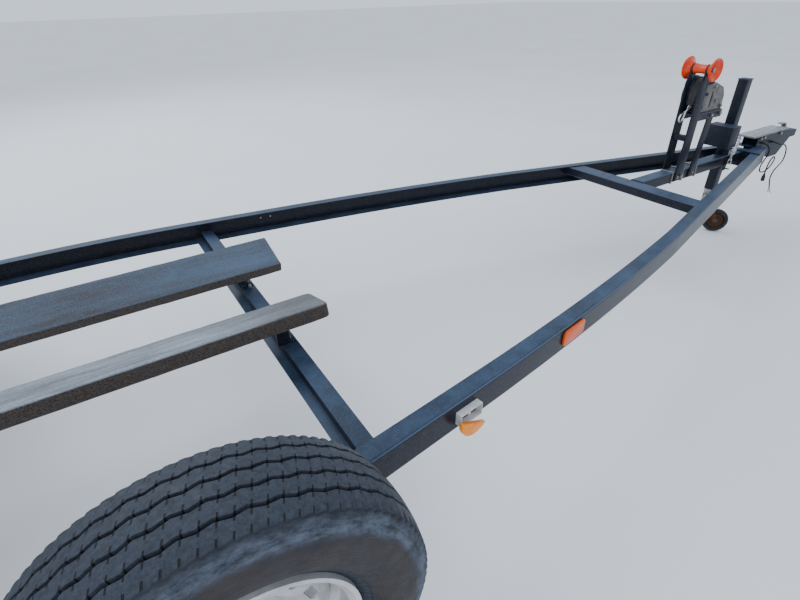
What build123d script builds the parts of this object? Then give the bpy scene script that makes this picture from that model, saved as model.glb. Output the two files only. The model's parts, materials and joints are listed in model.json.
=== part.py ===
import os
from math import asin, atan, cos, hypot, pi, radians, sin, sqrt, tan

from build123d import *

os.makedirs("parts", exist_ok=True)

# Frame: +X forward to the coupler, +Y to the left, +Z up, origin on the ground in the middle of the length
# Lengths are millimetres

# Places along the trailer, told from the coupler's tip
overall_length = 6960
rear_end_x = -overall_length / 2
coupler_tip_x = overall_length / 2
axle_x = coupler_tip_x - 5560
bunk_member_x = coupler_tip_x - 4060
middle_member_x = coupler_tip_x - 5120
front_member_x = coupler_tip_x - 1904
nose_member_x = coupler_tip_x - 735

# Side rails: formed channels, open side inwards
rail_top = 530
rail_height = 100
rail_flange = 57
rail_wall = 5
rail_corner = 9
rail_half_width = 955
rail_end_x = coupler_tip_x - 530
rail_end_half_width = 100
# Bends of a rail's outer face: x, half width, reach of the bend to either side
rail_bends = [
    (coupler_tip_x - 4500, rail_half_width, 350),
    (coupler_tip_x - 3060, rail_half_width * 0.7885, 690),
    (coupler_tip_x - 2317, rail_half_width * 0.6052, 30),
]
rail_bottom = rail_top - rail_height
web_hole_radius = 5
web_hole_xs = (coupler_tip_x - 3780, coupler_tip_x - 3730)
web_hole_z = 487

# Cross members
rear_setback = 20
member_height = 90
member_flange = 45
member_wall = 5
low_member_height = 36
low_member_width = 55
low_member_ledge = 32
low_member_wall = 4
front_member_width = 100
front_member_height = 50

# Tongue beam and nose
beam_width = 76
beam_height = 64
beam_wall = 5
nose_plate_wall = 6
housing_width = 96
housing_wall = 6
housing_rear_x = coupler_tip_x - 575
housing_top = 605
housing_slope_x = coupler_tip_x - 190
housing_drop_z = 478
wedge_rear_x = coupler_tip_x - 330
wedge_front_x = coupler_tip_x - 215
wedge_bottom = 425
socket_z = 545
step_plate_wall = 6
step_plate_width = 120
step_plate_rear_x = coupler_tip_x - 660
tread_rib_height = 2
ball_radius = 25.4
socket_play = 0.4
latch_width = 28

# Wheels
tyre_radius = 359
tyre_width = 222
tyre_wall = 12
tyre_bead_wall = 18
bead_radius = 190.5
bead_gap = 0.3
rim_half_width = 84
rim_lip_radius = 205
rim_wall = 5
wheel_middle_y = rail_half_width + 147
stud_circle_radius = 57.15
stud_radius = 6.3
stud_count = 5
stud_play = 0.8
hub_radius = 40
hub_flange_radius = 72
hub_flange_wall = 10
drum_radius = 128
drum_width = 62
spindle_radius = 17
spindle_play = 0.05
wheel_side_gap = 6

# Axle
axle_tube_side = 76
axle_tube_z = 384
arm_length = 150
arm_wall = 20
arm_width = 56

# Spare wheel on the right rail, its mounting face told from the rail's outer face
spare_x = coupler_tip_x - 4479
spare_z = 545
spare_reach = 150
carrier_plate_wall = 8
carrier_plate_width = 140
carrier_tube_radius = 38

# Fenders
fender_play = 62
fender_wall = 3
fender_rail_gap = 18
fender_outer_y = wheel_middle_y + 138
fender_foot = 200
fender_end_angle = 22
fender_skirt = 50

# Bunks: carpeted boards that tilt to the centre line
bunk_front_x = coupler_tip_x - 3923
bunk_rear_x = rear_end_x + 40
bunk_middle_y = 231
bunk_middle_z = 572
bunk_width = 186
bunk_thickness = 42
bunk_tilt = 16
bunk_seat_gap = 0.3
bracket_wall = 6
bracket_width = 60
bracket_face = 45
bracket_foot = 44

# Winch stand: two upright plates beside the beam
leg_x = coupler_tip_x - 1455
leg_width = 76
leg_wall = 8
leg_taper_z = 1020
leg_tip_radius = 22
roller_x = leg_x + 10
roller_z = 1092
roller_length = 165
roller_flare_radius = 60
roller_waist_radius = 23
roller_shaft_radius = 8
roller_play = 0.1
roller_side_gap = 3
roller_cup_depth = 22
shelf_top = 858
shelf_front_x = leg_x + 275
shelf_wall = 5
shelf_depth = 42
brace_foot_x = leg_x + 103
brace_top_x = leg_x + 140
brace_width = 60
cross_bar_z = 725
cross_bar_height = 30

# Straps that clamp the stand to the beam
strap_xs = (leg_x - 57, leg_x + 51, leg_x + 190)
strap_width = 12
strap_wall = 4

# Winch
cheek_wall = 5
cheek_y = 36
cheek_rear_x = leg_x + 45
cheek_front_x = leg_x + 271
cheek_slot_x = leg_x + 130
cheek_slot_z = 925
drum_x = leg_x + 70
drum_z = 958
gear_radius = 92
gear_wall = 6
gear_gap = 1.5
gear_side_gap = 6
crank_x = leg_x + 190
crank_z = 913
crank_length = 165
crank_width = 22
winch_shaft_radius = 9
winch_play = 0.1
strap_radius = 80
drum_flange_radius = 89
strap_thick = 2.5
strap_gap = 0.3

# Snap hook on the strap's end, leaning on the shelf's rear edge
hook_drop = 35
hook_ring_radius = 16
hook_ring_hole = 9
hook_bend_radius = 26
hook_bend_hole = 16
hook_reach = 75
hook_half = 6
hook_thick = 10

# Jack: square tube through the tongue beam, with a box on its rear face
jack_x = coupler_tip_x - 915
jack_side = 57
jack_wall = 4
jack_play = 0.1
jack_top = 990
jack_bottom = 300
jack_inner_top = 790
jack_flange_wall = 6
box_length = 96.5
box_width = 160
box_wall = 4
box_bottom = 604
box_top = 732

# Caster under the jack, turned towards the right side
caster_radius = 80
caster_width = 40
caster_trail = 90
caster_turn = -55
caster_play = 0.05
kingpin_radius = 10
pin_radius = 8
fork_wall = 6
fork_top = 200

# Lamps on the rails' webs and at the rear
skin_gap = 0.2
marker_x = coupler_tip_x - 3766
marker_z = 477
marker_length = 86
marker_depth = 22
marker_height = 42
marker_wall = 2
lens_depth = 14
reflector_x = coupler_tip_x - 3230
reflector_z = 485
reflector_length = 130
reflector_height = 60
reflector_wall = 8
tail_lamp_y = rail_half_width - 155

# Safety chain
chain_wire_radius = 4
chain_link_length = 42
chain_link_width = 26
chain_bolt_radius = 4
chain_lug_wall = 6
# Chain's bends: bolt under the step plate, place beside the beam's edge, bolt in the beam's lug
chain_route = [
    (coupler_tip_x - 642, 43, 594),
    (coupler_tip_x - 902, -60, 548),
    (coupler_tip_x - 910, -60, 450),
]

# Wiring
wire_radius = 4

sides = [("left", 1), ("right", -1)]
rail_corners = [(rear_end_x, rail_half_width), *[bend[:2] for bend in rail_bends], (rail_end_x, rail_end_half_width)]
rail_slopes = [atan((y0 - y1) / (x1 - x0)) for (x0, y0), (x1, y1) in zip(rail_corners, rail_corners[1:])]
rail_radii = [
    reach / tan((slope_out - slope_in) / 2)
    for (x, half, reach), slope_in, slope_out in zip(rail_bends, rail_slopes, rail_slopes[1:])
]


def rail_path(side):
    """Outer face of a rail, seen in plan, at half the rail's height."""
    middle = rail_top - rail_height / 2
    FilletPolyline(*[(x, side * half, middle) for x, half in rail_corners], radius=rail_radii)


def rail_plane(side):
    """Section plane at the rear end of a rail, with local x inwards."""
    middle = rail_top - rail_height / 2
    return Plane(origin=(rear_end_x, side * rail_half_width, middle), x_dir=(0, -side, 0), z_dir=(1, 0, 0))


def rail_y(x):
    """Half width of a rail's outer face at x, bends included."""
    for (bend_x, half, reach), radius, slope_in, slope_out in zip(rail_bends, rail_radii, rail_slopes, rail_slopes[1:]):
        arc_start = bend_x - reach * cos(slope_in)
        if x <= arc_start:
            return half + (bend_x - x) * tan(slope_in)
        if x <= bend_x + reach * cos(slope_out):
            centre_x = arc_start - radius * sin(slope_in)
            centre_y = half + (bend_x - arc_start) * tan(slope_in) - radius * cos(slope_in)
            return centre_y + sqrt(radius**2 - (x - centre_x) ** 2)
    return half - (x - bend_x) * tan(slope_out)


def rail_skin(x, z, side):
    """Plane on a rail's outer face, with local x forwards and local y up."""
    slope = atan((rail_y(x - 10) - rail_y(x + 10)) / 20)
    along = (cos(slope), -side * sin(slope), 0)
    out = (sin(slope), side * cos(slope), 0)
    return Plane(origin=(x, side * (rail_y(x) + skin_gap), z), x_dir=along, z_dir=out)


def channel(width, height, wall):
    """Channel section around the origin, open to local +x."""
    Rectangle(width, height)
    with Locations((wall, 0)):
        Rectangle(width, height - 2 * wall, mode=Mode.SUBTRACT)


def wheel_plane(x, y, z, side):
    """Plane through a wheel's axis, with local x outwards along the axis and local y up."""
    return Plane(origin=(x, y, z), x_dir=(0, side, 0), z_dir=(side, 0, 0))


# Space outside the rails' webs, cut from what is welded between them
web_cutters = []
for side_name, side in sides:
    with BuildPart() as web_cutter:
        with BuildLine():
            rail_path(side)
        with BuildSketch(rail_plane(side)):
            with Locations((rail_wall, 0)):
                Rectangle(300, rail_height * 2, align=(Align.MAX, Align.CENTER))
        sweep()
    web_cutters.append(web_cutter.part)

# Side rails
for side_name, side in sides:
    with BuildPart() as side_rail:
        with BuildLine():
            rail_path(side)
        with BuildSketch(rail_plane(side)) as rail_section:
            Rectangle(rail_flange, rail_height, align=(Align.MIN, Align.CENTER))
            fillet(rail_section.vertices().sort_by(Axis.X)[:2], rail_corner)
            with Locations((rail_wall, 0)):
                Rectangle(rail_flange, rail_height - 2 * rail_wall, align=(Align.MIN, Align.CENTER), mode=Mode.SUBTRACT)
        sweep()
        if side_name == "left":
            with Locations(*[(x, rail_y(x), web_hole_z) for x in web_hole_xs]):
                Cylinder(web_hole_radius, 60, rotation=(90, 0, 0), mode=Mode.SUBTRACT)
    side_rail.part.label = f"side_rail_{side_name}"
    export_step(side_rail.part, f"parts/side_rail_{side_name}.step")

# Full-height cross members: name, x of the web's outer face
for member_name, web_x in [("rear_cross_member", rear_end_x + rear_setback), ("nose_cross_member", nose_member_x)]:
    with BuildPart() as member:
        with BuildSketch(Plane.XZ):
            with Locations((web_x + member_flange / 2, rail_top - rail_height / 2)):
                channel(member_flange, member_height, member_wall)
        extrude(amount=min(rail_y(web_x) + 60, rail_half_width), both=True)
        for web_cutter in web_cutters:
            add(web_cutter, mode=Mode.SUBTRACT)
    member.part.label = member_name
    export_step(member.part, f"parts/{member_name}.step")

# Front cross member: tube laid flat under the rails' top flanges
front_member_top = rail_top - rail_wall
with BuildPart() as front_cross_member:
    with BuildSketch(Plane.XZ):
        with Locations((front_member_x + front_member_width / 2, front_member_top - front_member_height / 2)):
            RectangleRounded(front_member_width, front_member_height, 6)
            Rectangle(front_member_width - 2 * beam_wall, front_member_height - 2 * beam_wall, mode=Mode.SUBTRACT)
    extrude(amount=rail_y(front_member_x) + 60, both=True)
    for web_cutter in web_cutters:
        add(web_cutter, mode=Mode.SUBTRACT)
front_cross_member.part.label = "front_cross_member"
export_step(front_cross_member.part, "parts/front_cross_member.step")

# Low cross members that carry the bunks: hat section with a ledge on the rear side
low_member_bottom = rail_bottom + rail_wall
low_member_top = low_member_bottom + low_member_height
for member_name, middle_x in [("bunk_cross_member", bunk_member_x), ("middle_cross_member", middle_member_x)]:
    with BuildPart() as member:
        with BuildSketch(Plane.XZ):
            with Locations((middle_x, low_member_bottom)):
                Rectangle(low_member_width, low_member_height, align=(Align.CENTER, Align.MIN))
                Rectangle(
                    low_member_width - 2 * low_member_wall,
                    low_member_height - low_member_wall,
                    align=(Align.CENTER, Align.MIN),
                    mode=Mode.SUBTRACT,
                )
            with Locations((middle_x - low_member_width / 2, low_member_bottom)):
                Rectangle(low_member_ledge, low_member_wall, align=(Align.MAX, Align.MIN))
        extrude(amount=rail_half_width, both=True)
        for web_cutter in web_cutters:
            add(web_cutter, mode=Mode.SUBTRACT)
    member.part.label = member_name
    export_step(member.part, f"parts/{member_name}.step")

# Tongue beam, flat-topped tube between the front and nose members, with a lug for the chain's bolt
beam_bottom = rail_top - beam_height
beam_middle_z = rail_top - beam_height / 2
beam_rear_x = front_member_x + front_member_width
chain_end_x, chain_end_y, chain_end_z = chain_route[-1]
lug_face_y = beam_width / 2 + chain_lug_wall
with BuildPart() as tongue_beam:
    with BuildSketch(Plane.YZ.offset(beam_rear_x)):
        with Locations((0, beam_middle_z)):
            RectangleRounded(beam_width, beam_height, 6)
            Rectangle(beam_width - 2 * beam_wall, beam_height - 2 * beam_wall, mode=Mode.SUBTRACT)
    extrude(amount=nose_member_x - beam_rear_x)
    with BuildSketch(Plane.XY.offset(beam_bottom)):
        with Locations((jack_x, 0)):
            Rectangle(jack_side, jack_side)
    extrude(amount=beam_height, mode=Mode.SUBTRACT)
    with BuildSketch(Plane.XZ.offset(beam_width / 2)):
        with Locations((chain_end_x, (chain_end_z + beam_middle_z) / 2)):
            RectangleRounded(30, beam_middle_z - chain_end_z + 30, 6)
    extrude(amount=chain_lug_wall)
    with BuildSketch(Plane.XZ.offset(lug_face_y)):
        with Locations((chain_end_x, chain_end_z)):
            Circle(chain_bolt_radius)
    extrude(amount=-chain_end_y - lug_face_y + 12)
tongue_beam.part.label = "tongue_beam"
export_step(tongue_beam.part, "parts/tongue_beam.step")

# Nose plate on top of the rail tips, with the jack's hole
nose_plate_top = rail_top + nose_plate_wall
with BuildPart() as nose_plate:
    with BuildSketch(Plane.XY.offset(rail_top)):
        with BuildLine():
            Polyline(
                (nose_member_x, rail_y(nose_member_x)),
                (rail_end_x, rail_end_half_width),
                (rail_end_x, -rail_end_half_width),
                (nose_member_x, -rail_y(nose_member_x)),
                close=True,
            )
        make_face()
        with Locations(((nose_member_x + member_flange + housing_rear_x) / 2, 0)):
            Rectangle(70, housing_width, mode=Mode.SUBTRACT)
    extrude(amount=nose_plate_wall)
nose_plate.part.label = "nose_plate"
export_step(nose_plate.part, "parts/nose_plate.step")

# Coupler housing: hollow wedge, open below, with the ball socket at its tip
socket_x = coupler_tip_x - 45
housing_drop_x = rail_end_x + 2
roof_drop = 8
cut_z = wedge_bottom - 10
cut_front_x = wedge_front_x - 20
with BuildPart() as coupler_housing:
    with BuildSketch(Plane.XZ.offset(housing_width / 2)) as housing_side:
        with BuildLine():
            Polyline(
                (housing_rear_x, nose_plate_top),
                (housing_rear_x, housing_top),
                (housing_slope_x, housing_top - roof_drop),
                (coupler_tip_x - 90, socket_z + 38),
                (coupler_tip_x, socket_z + 30),
                (coupler_tip_x, socket_z - 12),
                (coupler_tip_x - 95, socket_z - 12),
                (wedge_front_x, wedge_bottom),
                (wedge_rear_x, wedge_bottom),
                (housing_drop_x, housing_drop_z),
                (housing_drop_x, nose_plate_top),
                close=True,
            )
        make_face()
    extrude(amount=-housing_width)
    with BuildSketch(Plane.XZ.offset(housing_width / 2 - housing_wall)):
        with BuildLine():
            Polyline(
                (housing_rear_x - 1, nose_plate_top - 1),
                (housing_rear_x - 1, housing_top - housing_wall),
                (housing_slope_x, housing_top - roof_drop - housing_wall),
                (coupler_tip_x - 130, socket_z + 38),
                (coupler_tip_x - 104, socket_z - 12),
                (cut_front_x, cut_z),
                (housing_drop_x + housing_wall, cut_z),
                (housing_drop_x + housing_wall, nose_plate_top - 1),
                close=True,
            )
        make_face()
    extrude(amount=-(housing_width - 2 * housing_wall), mode=Mode.SUBTRACT)
    with Locations((socket_x, 0, socket_z)):
        Sphere(ball_radius + socket_play, mode=Mode.SUBTRACT)
    with Locations((socket_x, 0, socket_z)):
        Cylinder(
            ball_radius + socket_play,
            60,
            align=(Align.CENTER, Align.CENTER, Align.MAX),
            mode=Mode.SUBTRACT,
        )
    nose_edges = coupler_housing.edges().filter_by(Axis.Z).sort_by(Axis.X)[-2:]
    fillet(nose_edges, 26)
coupler_housing.part.label = "coupler_housing"
export_step(coupler_housing.part, "parts/coupler_housing.step")

# Coupler latch: lever on top of the tip, its foot on the sloping roof
latch_x = coupler_tip_x - 120
latch_rear_x = latch_x - 30
roof_slope = (housing_top - roof_drop - socket_z - 38) / 100
roof_at_latch = housing_top - roof_drop - roof_slope * (latch_rear_x - housing_slope_x) + 0.2
with BuildPart() as coupler_latch:
    with BuildSketch(Plane.XZ.offset(latch_width / 2)):
        with BuildLine():
            Polyline(
                (latch_x, roof_at_latch - roof_slope * (latch_x - latch_rear_x)),
                (latch_x, roof_at_latch + 20),
                (latch_x - 24, roof_at_latch + 42),
                (latch_x - 96, roof_at_latch + 48),
                (latch_x - 96, roof_at_latch + 41),
                (latch_rear_x, roof_at_latch + 34),
                (latch_x - 24, roof_at_latch + 16),
                (latch_rear_x, roof_at_latch),
                close=True,
            )
        make_face()
    extrude(amount=-latch_width)
coupler_latch.part.label = "coupler_latch"
export_step(coupler_latch.part, "parts/coupler_latch.step")

# Ribbed step plate on the coupler
step_plate_length = housing_slope_x - step_plate_rear_x
step_plate_middle_x = step_plate_rear_x + step_plate_length / 2
chain_start_x, chain_start_y, chain_start_z = chain_route[0]
with BuildPart() as step_plate:
    with BuildSketch(Plane.XY.offset(housing_top)):
        with Locations((step_plate_middle_x, 0)):
            Rectangle(step_plate_length, step_plate_width)
    extrude(amount=step_plate_wall)
    with BuildSketch(Plane.XY.offset(housing_top + step_plate_wall)):
        with Locations((step_plate_middle_x, 0)):
            with GridLocations(40, 1, 11, 1):
                Rectangle(10, step_plate_width - 16)
    extrude(amount=tread_rib_height)
    with BuildSketch(Plane.XY.offset(housing_top)):
        with Locations((chain_start_x, chain_start_y)):
            Circle(chain_bolt_radius)
    extrude(amount=-(housing_top - chain_start_z + 12))
step_plate.part.label = "step_plate"
export_step(step_plate.part, "parts/step_plate.step")

# Axle tube under the rails, on a pad at each rail
axle_tube_x = axle_x + arm_length * cos(radians(15))
axle_pad_wall = rail_bottom - (axle_tube_z + axle_tube_side / 2)
with BuildPart() as axle_tube:
    with BuildSketch(Plane.XZ):
        with Locations((axle_tube_x, axle_tube_z)):
            RectangleRounded(axle_tube_side, axle_tube_side, 8)
            Rectangle(axle_tube_side - 12, axle_tube_side - 12, mode=Mode.SUBTRACT)
    extrude(amount=rail_half_width, both=True)
    with BuildSketch(Plane.XY.offset(axle_tube_z + axle_tube_side / 2)):
        with Locations((axle_tube_x, rail_half_width - 60), (axle_tube_x, -rail_half_width + 60)):
            Rectangle(150, 110)
    extrude(amount=axle_pad_wall)
axle_tube.part.label = "axle_tube"
export_step(axle_tube.part, "parts/axle_tube.step")

# Torsion arms with their spindles
for side_name, side in sides:
    arm_inner_y = rail_half_width
    with BuildPart() as torsion_arm:
        with BuildSketch(Plane.XZ.offset(-side * arm_inner_y)):
            with Locations((axle_x, tyre_radius), (axle_tube_x, axle_tube_z)):
                Circle(arm_width / 2)
            make_hull()
        extrude(amount=-side * arm_wall)
        with BuildSketch(Plane.XZ.offset(-side * (arm_inner_y + arm_wall))):
            with Locations((axle_x, tyre_radius)):
                Circle(spindle_radius)
        extrude(amount=-side * (wheel_middle_y + 24 - arm_inner_y - arm_wall))
    torsion_arm.part.label = f"torsion_arm_{side_name}"
    export_step(torsion_arm.part, f"parts/torsion_arm_{side_name}.step")

# Hubs with brake drums and studs
for side_name, side in sides:
    hub_plane = wheel_plane(axle_x, side * wheel_middle_y, tyre_radius, side)
    hub_axis = Axis(hub_plane.origin, (0, 1, 0))
    hub_back = -(wheel_middle_y - rail_half_width - arm_wall) + wheel_side_gap
    bore_radius = spindle_radius + spindle_play
    with BuildPart() as hub:
        with BuildSketch(hub_plane):
            with BuildLine():
                Polyline(
                    (hub_back, bore_radius),
                    (hub_back, hub_radius),
                    (-hub_flange_wall - drum_width, hub_radius),
                    (-hub_flange_wall - drum_width, drum_radius),
                    (-hub_flange_wall, drum_radius),
                    (-hub_flange_wall, hub_flange_radius),
                    (0, hub_flange_radius),
                    (0, hub_radius - 2),
                    (30, hub_radius - 4),
                    (30, 26),
                    (52, 24),
                    (56, 18),
                    (56, 0),
                    (28, 0),
                    (28, bore_radius),
                    close=True,
                )
            make_face()
        revolve(axis=hub_axis)
        with BuildSketch(Plane(origin=hub_plane.origin, x_dir=(1, 0, 0), z_dir=(0, side, 0))):
            with PolarLocations(stud_circle_radius, stud_count, start_angle=90):
                Circle(stud_radius)
        extrude(amount=28)
    hub.part.label = f"hub_{side_name}"
    export_step(hub.part, f"parts/hub_{side_name}.step")

# Three wheels, each a steel rim and a tyre: name, x, middle y, z, outward side
spare_face_y = -(rail_y(spare_x) + spare_reach)
wheels = [
    ("left", axle_x, wheel_middle_y, tyre_radius, 1),
    ("right", axle_x, -wheel_middle_y, tyre_radius, -1),
    ("spare", spare_x, spare_face_y, spare_z, -1),
]
for wheel_name, x, y, z, side in wheels:
    section_plane = wheel_plane(x, y, z, side)
    face_plane = Plane(origin=section_plane.origin, x_dir=(1, 0, 0), z_dir=(0, side, 0))
    wheel_axis = Axis(section_plane.origin, (0, 1, 0))
    bead_half = rim_half_width - 12
    seat = bead_radius
    floor = 170
    with BuildPart() as rim:
        with BuildSketch(section_plane):
            with BuildLine():
                Polyline(
                    (rim_half_width, rim_lip_radius),
                    (bead_half, rim_lip_radius),
                    (bead_half, seat),
                    (30, seat),
                    (12, floor),
                    (-45, floor),
                    (-62, seat),
                    (-bead_half, seat),
                    (-bead_half, rim_lip_radius),
                    (-rim_half_width, rim_lip_radius),
                    (-rim_half_width, rim_lip_radius - 9),
                    (-bead_half, seat - rim_wall),
                    (-64, seat - rim_wall),
                    (-47, floor - rim_wall),
                    (14, floor - rim_wall),
                    (32, seat - rim_wall),
                    (bead_half, seat - rim_wall),
                    (rim_half_width, rim_lip_radius - 9),
                    close=True,
                )
            make_face()
        revolve(axis=wheel_axis)
        with BuildSketch(section_plane):
            with BuildLine():
                Polyline(
                    (0, 42),
                    (0, 84),
                    (30, 118),
                    (34, 140),
                    (16, floor - 2),
                    (22, floor - 2),
                    (40, 141),
                    (35, 114),
                    (6, 81),
                    (6, 42),
                    close=True,
                )
            make_face()
        revolve(axis=wheel_axis)
        with BuildSketch(face_plane):
            with PolarLocations(stud_circle_radius, stud_count, start_angle=90):
                Circle(stud_radius + stud_play)
            with PolarLocations(136, 5, start_angle=90):
                SlotOverall(44, 18, rotation=90)
            with PolarLocations(138, 5, start_angle=114):
                Circle(8)
            with PolarLocations(138, 5, start_angle=138):
                Circle(8)
        extrude(amount=60, mode=Mode.SUBTRACT)
    rim.part.label = f"rim_{wheel_name}"
    export_step(rim.part, f"parts/rim_{wheel_name}.step")

    bead = bead_half - bead_gap
    shoulder = tyre_width / 2 - 27
    shoulder_radius = tyre_radius - 11
    wall_middle = (rim_lip_radius + shoulder_radius) / 2
    with BuildPart() as tyre:
        with BuildSketch(section_plane):
            with BuildLine():
                Line((-bead, seat + bead_gap), (bead, seat + bead_gap))
                Line((bead, seat + bead_gap), (bead, rim_lip_radius + 2))
                ThreePointArc((bead, rim_lip_radius + 2), (tyre_width / 2, wall_middle), (shoulder, shoulder_radius))
                ThreePointArc((shoulder, shoulder_radius), (0, tyre_radius), (-shoulder, shoulder_radius))
                ThreePointArc((-shoulder, shoulder_radius), (-tyre_width / 2, wall_middle), (-bead, rim_lip_radius + 2))
                Line((-bead, rim_lip_radius + 2), (-bead, seat + bead_gap))
            make_face()
            inner_bead = bead - tyre_bead_wall
            inner_shoulder = shoulder - tyre_wall
            crown = tyre_radius - tyre_wall - 4
            with BuildLine():
                Line((-inner_bead, seat - 1), (inner_bead, seat - 1))
                Line((inner_bead, seat - 1), (inner_bead, rim_lip_radius + 8))
                ThreePointArc(
                    (inner_bead, rim_lip_radius + 8),
                    (tyre_width / 2 - tyre_wall, wall_middle),
                    (inner_shoulder, shoulder_radius - tyre_wall),
                )
                ThreePointArc(
                    (inner_shoulder, shoulder_radius - tyre_wall),
                    (0, crown),
                    (-inner_shoulder, shoulder_radius - tyre_wall),
                )
                ThreePointArc(
                    (-inner_shoulder, shoulder_radius - tyre_wall),
                    (-tyre_width / 2 + tyre_wall, wall_middle),
                    (-inner_bead, rim_lip_radius + 8),
                )
                Line((-inner_bead, rim_lip_radius + 8), (-inner_bead, seat - 1))
            make_face(mode=Mode.SUBTRACT)
        revolve(axis=wheel_axis)
    tyre.part.label = f"tyre_{wheel_name}"
    export_step(tyre.part, f"parts/tyre_{wheel_name}.step")

# Spare wheel carrier: plate on the rail's web, stub tube, flange and studs
carrier_top = spare_z + 60
carrier_bottom = rail_bottom + 8
carrier_skin = rail_skin(spare_x, (carrier_top + carrier_bottom) / 2, -1).offset(-skin_gap)
carrier_tube_y = -rail_y(spare_x) - carrier_plate_wall / 2
with BuildPart() as spare_carrier:
    with BuildSketch(carrier_skin):
        RectangleRounded(carrier_plate_width, carrier_top - carrier_bottom, 12)
    extrude(amount=carrier_plate_wall)
    with BuildSketch(Plane.XZ.offset(-carrier_tube_y)):
        with Locations((spare_x, spare_z)):
            Circle(carrier_tube_radius)
    extrude(amount=carrier_tube_y - spare_face_y - hub_flange_wall)
    with BuildSketch(Plane.XZ.offset(-spare_face_y - hub_flange_wall)):
        with Locations((spare_x, spare_z)):
            Circle(hub_flange_radius)
    extrude(amount=hub_flange_wall)
    with BuildSketch(Plane.XZ.offset(-spare_face_y)):
        with Locations((spare_x, spare_z)):
            with PolarLocations(stud_circle_radius, stud_count, start_angle=90):
                Circle(stud_radius)
    extrude(amount=28)
spare_carrier.part.label = "spare_carrier"
export_step(spare_carrier.part, "parts/spare_carrier.step")

# Fenders: arched band with a skirt, a step before and behind, and flanges on the rail's web
fender_radius = tyre_radius + fender_play
fender_inner_y = rail_half_width + fender_rail_gap
fender_rise = fender_radius * sin(radians(fender_end_angle))
fender_reach = fender_radius * cos(radians(fender_end_angle))
fender_foot_z = tyre_radius + fender_rise
flange_foot_z = rail_bottom + 25
for side_name, side in sides:
    with BuildPart() as fender:
        # Band and skirt: inner y, ring's inner radius
        for from_y, inner_radius in [(fender_inner_y, fender_radius), (fender_outer_y - fender_wall, fender_radius - fender_skirt)]:
            with BuildSketch(Plane.XZ.offset(-side * from_y)):
                with Locations((axle_x, tyre_radius)):
                    Circle(fender_radius + fender_wall)
                    Circle(inner_radius, mode=Mode.SUBTRACT)
                with Locations((axle_x, fender_foot_z)):
                    Rectangle(3 * fender_radius, fender_radius, align=(Align.CENTER, Align.MIN), mode=Mode.INTERSECT)
            extrude(amount=-side * (fender_outer_y - from_y))
        for end, align in [(-1, Align.MAX), (1, Align.MIN)]:
            foot_x = axle_x + end * fender_reach
            with BuildSketch(Plane.XZ.offset(-side * fender_inner_y)):
                with Locations((foot_x, fender_foot_z)):
                    Rectangle(fender_foot, fender_wall, align=(align, Align.MIN))
            extrude(amount=-side * (fender_outer_y - fender_inner_y))
            with BuildSketch(Plane.XY.offset(fender_foot_z)):
                with Locations((foot_x + end * fender_foot / 2, side * rail_half_width)):
                    Rectangle(fender_foot - 20, fender_rail_gap + 30, align=(Align.CENTER, Align.MIN if side > 0 else Align.MAX))
            extrude(amount=fender_wall)
            with BuildSketch(Plane.XZ.offset(-side * rail_half_width)):
                with Locations((foot_x + end * fender_foot / 2, flange_foot_z)):
                    Rectangle(fender_foot - 20, fender_foot_z + fender_wall - flange_foot_z, align=(Align.CENTER, Align.MIN))
            extrude(amount=-side * fender_wall)
    fender.part.label = f"fender_{side_name}"
    export_step(fender.part, f"parts/fender_{side_name}.step")

# Bunks
for side_name, side in sides:
    bunk_plane = Plane(
        origin=(bunk_rear_x, side * bunk_middle_y, bunk_middle_z),
        x_dir=(0, side * cos(radians(bunk_tilt)), sin(radians(bunk_tilt))),
        z_dir=(1, 0, 0),
    )
    with BuildPart() as bunk:
        with BuildSketch(bunk_plane):
            RectangleRounded(bunk_width, bunk_thickness, 8)
        extrude(amount=bunk_front_x - bunk_rear_x)
    bunk.part.label = f"bunk_{side_name}"
    export_step(bunk.part, f"parts/bunk_{side_name}.step")

# Bunk brackets: a foot and an upright of angle under each bunk
rear_member_top = rail_top - (rail_height - member_height) / 2
bunk_under = bunk_thickness / 2 / cos(radians(bunk_tilt)) + bunk_seat_gap
# Brackets: x, height of the foot
brackets = [
    (bunk_member_x, low_member_top),
    (middle_member_x, low_member_top),
    (rear_end_x + rear_setback + member_flange / 2, rear_member_top),
]
cradle_slope = tan(radians(bunk_tilt))
with BuildPart() as bunk_brackets:
    for x, foot_z in brackets:
        under = bunk_middle_z - bunk_under
        for side_name, side in sides:
            with BuildSketch(Plane.YZ.offset(x - bracket_wall / 2)):
                with BuildLine():
                    inner_y = side * (bunk_middle_y - bracket_width / 2)
                    outer_y = side * (bunk_middle_y + bracket_width / 2)
                    Polyline(
                        (inner_y, foot_z),
                        (outer_y, foot_z),
                        (outer_y, under + cradle_slope * bracket_width / 2),
                        (inner_y, under - cradle_slope * bracket_width / 2),
                        close=True,
                    )
                make_face()
            extrude(amount=bracket_wall)
            face_top = under + cradle_slope * (bracket_width / 2 - bracket_wall)
            with BuildSketch(Plane.XZ.offset(-outer_y)):
                with Locations((x + bracket_wall / 2, foot_z)):
                    Rectangle(bracket_face, face_top - foot_z, align=(Align.MAX, Align.MIN))
            extrude(amount=side * bracket_wall)
            with BuildSketch(Plane.XY.offset(foot_z)):
                with Locations((x, side * bunk_middle_y)):
                    Rectangle(bracket_foot, bracket_width)
            extrude(amount=bracket_wall)
bunk_brackets.part.label = "bunk_brackets"
export_step(bunk_brackets.part, "parts/bunk_brackets.step")

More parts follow.
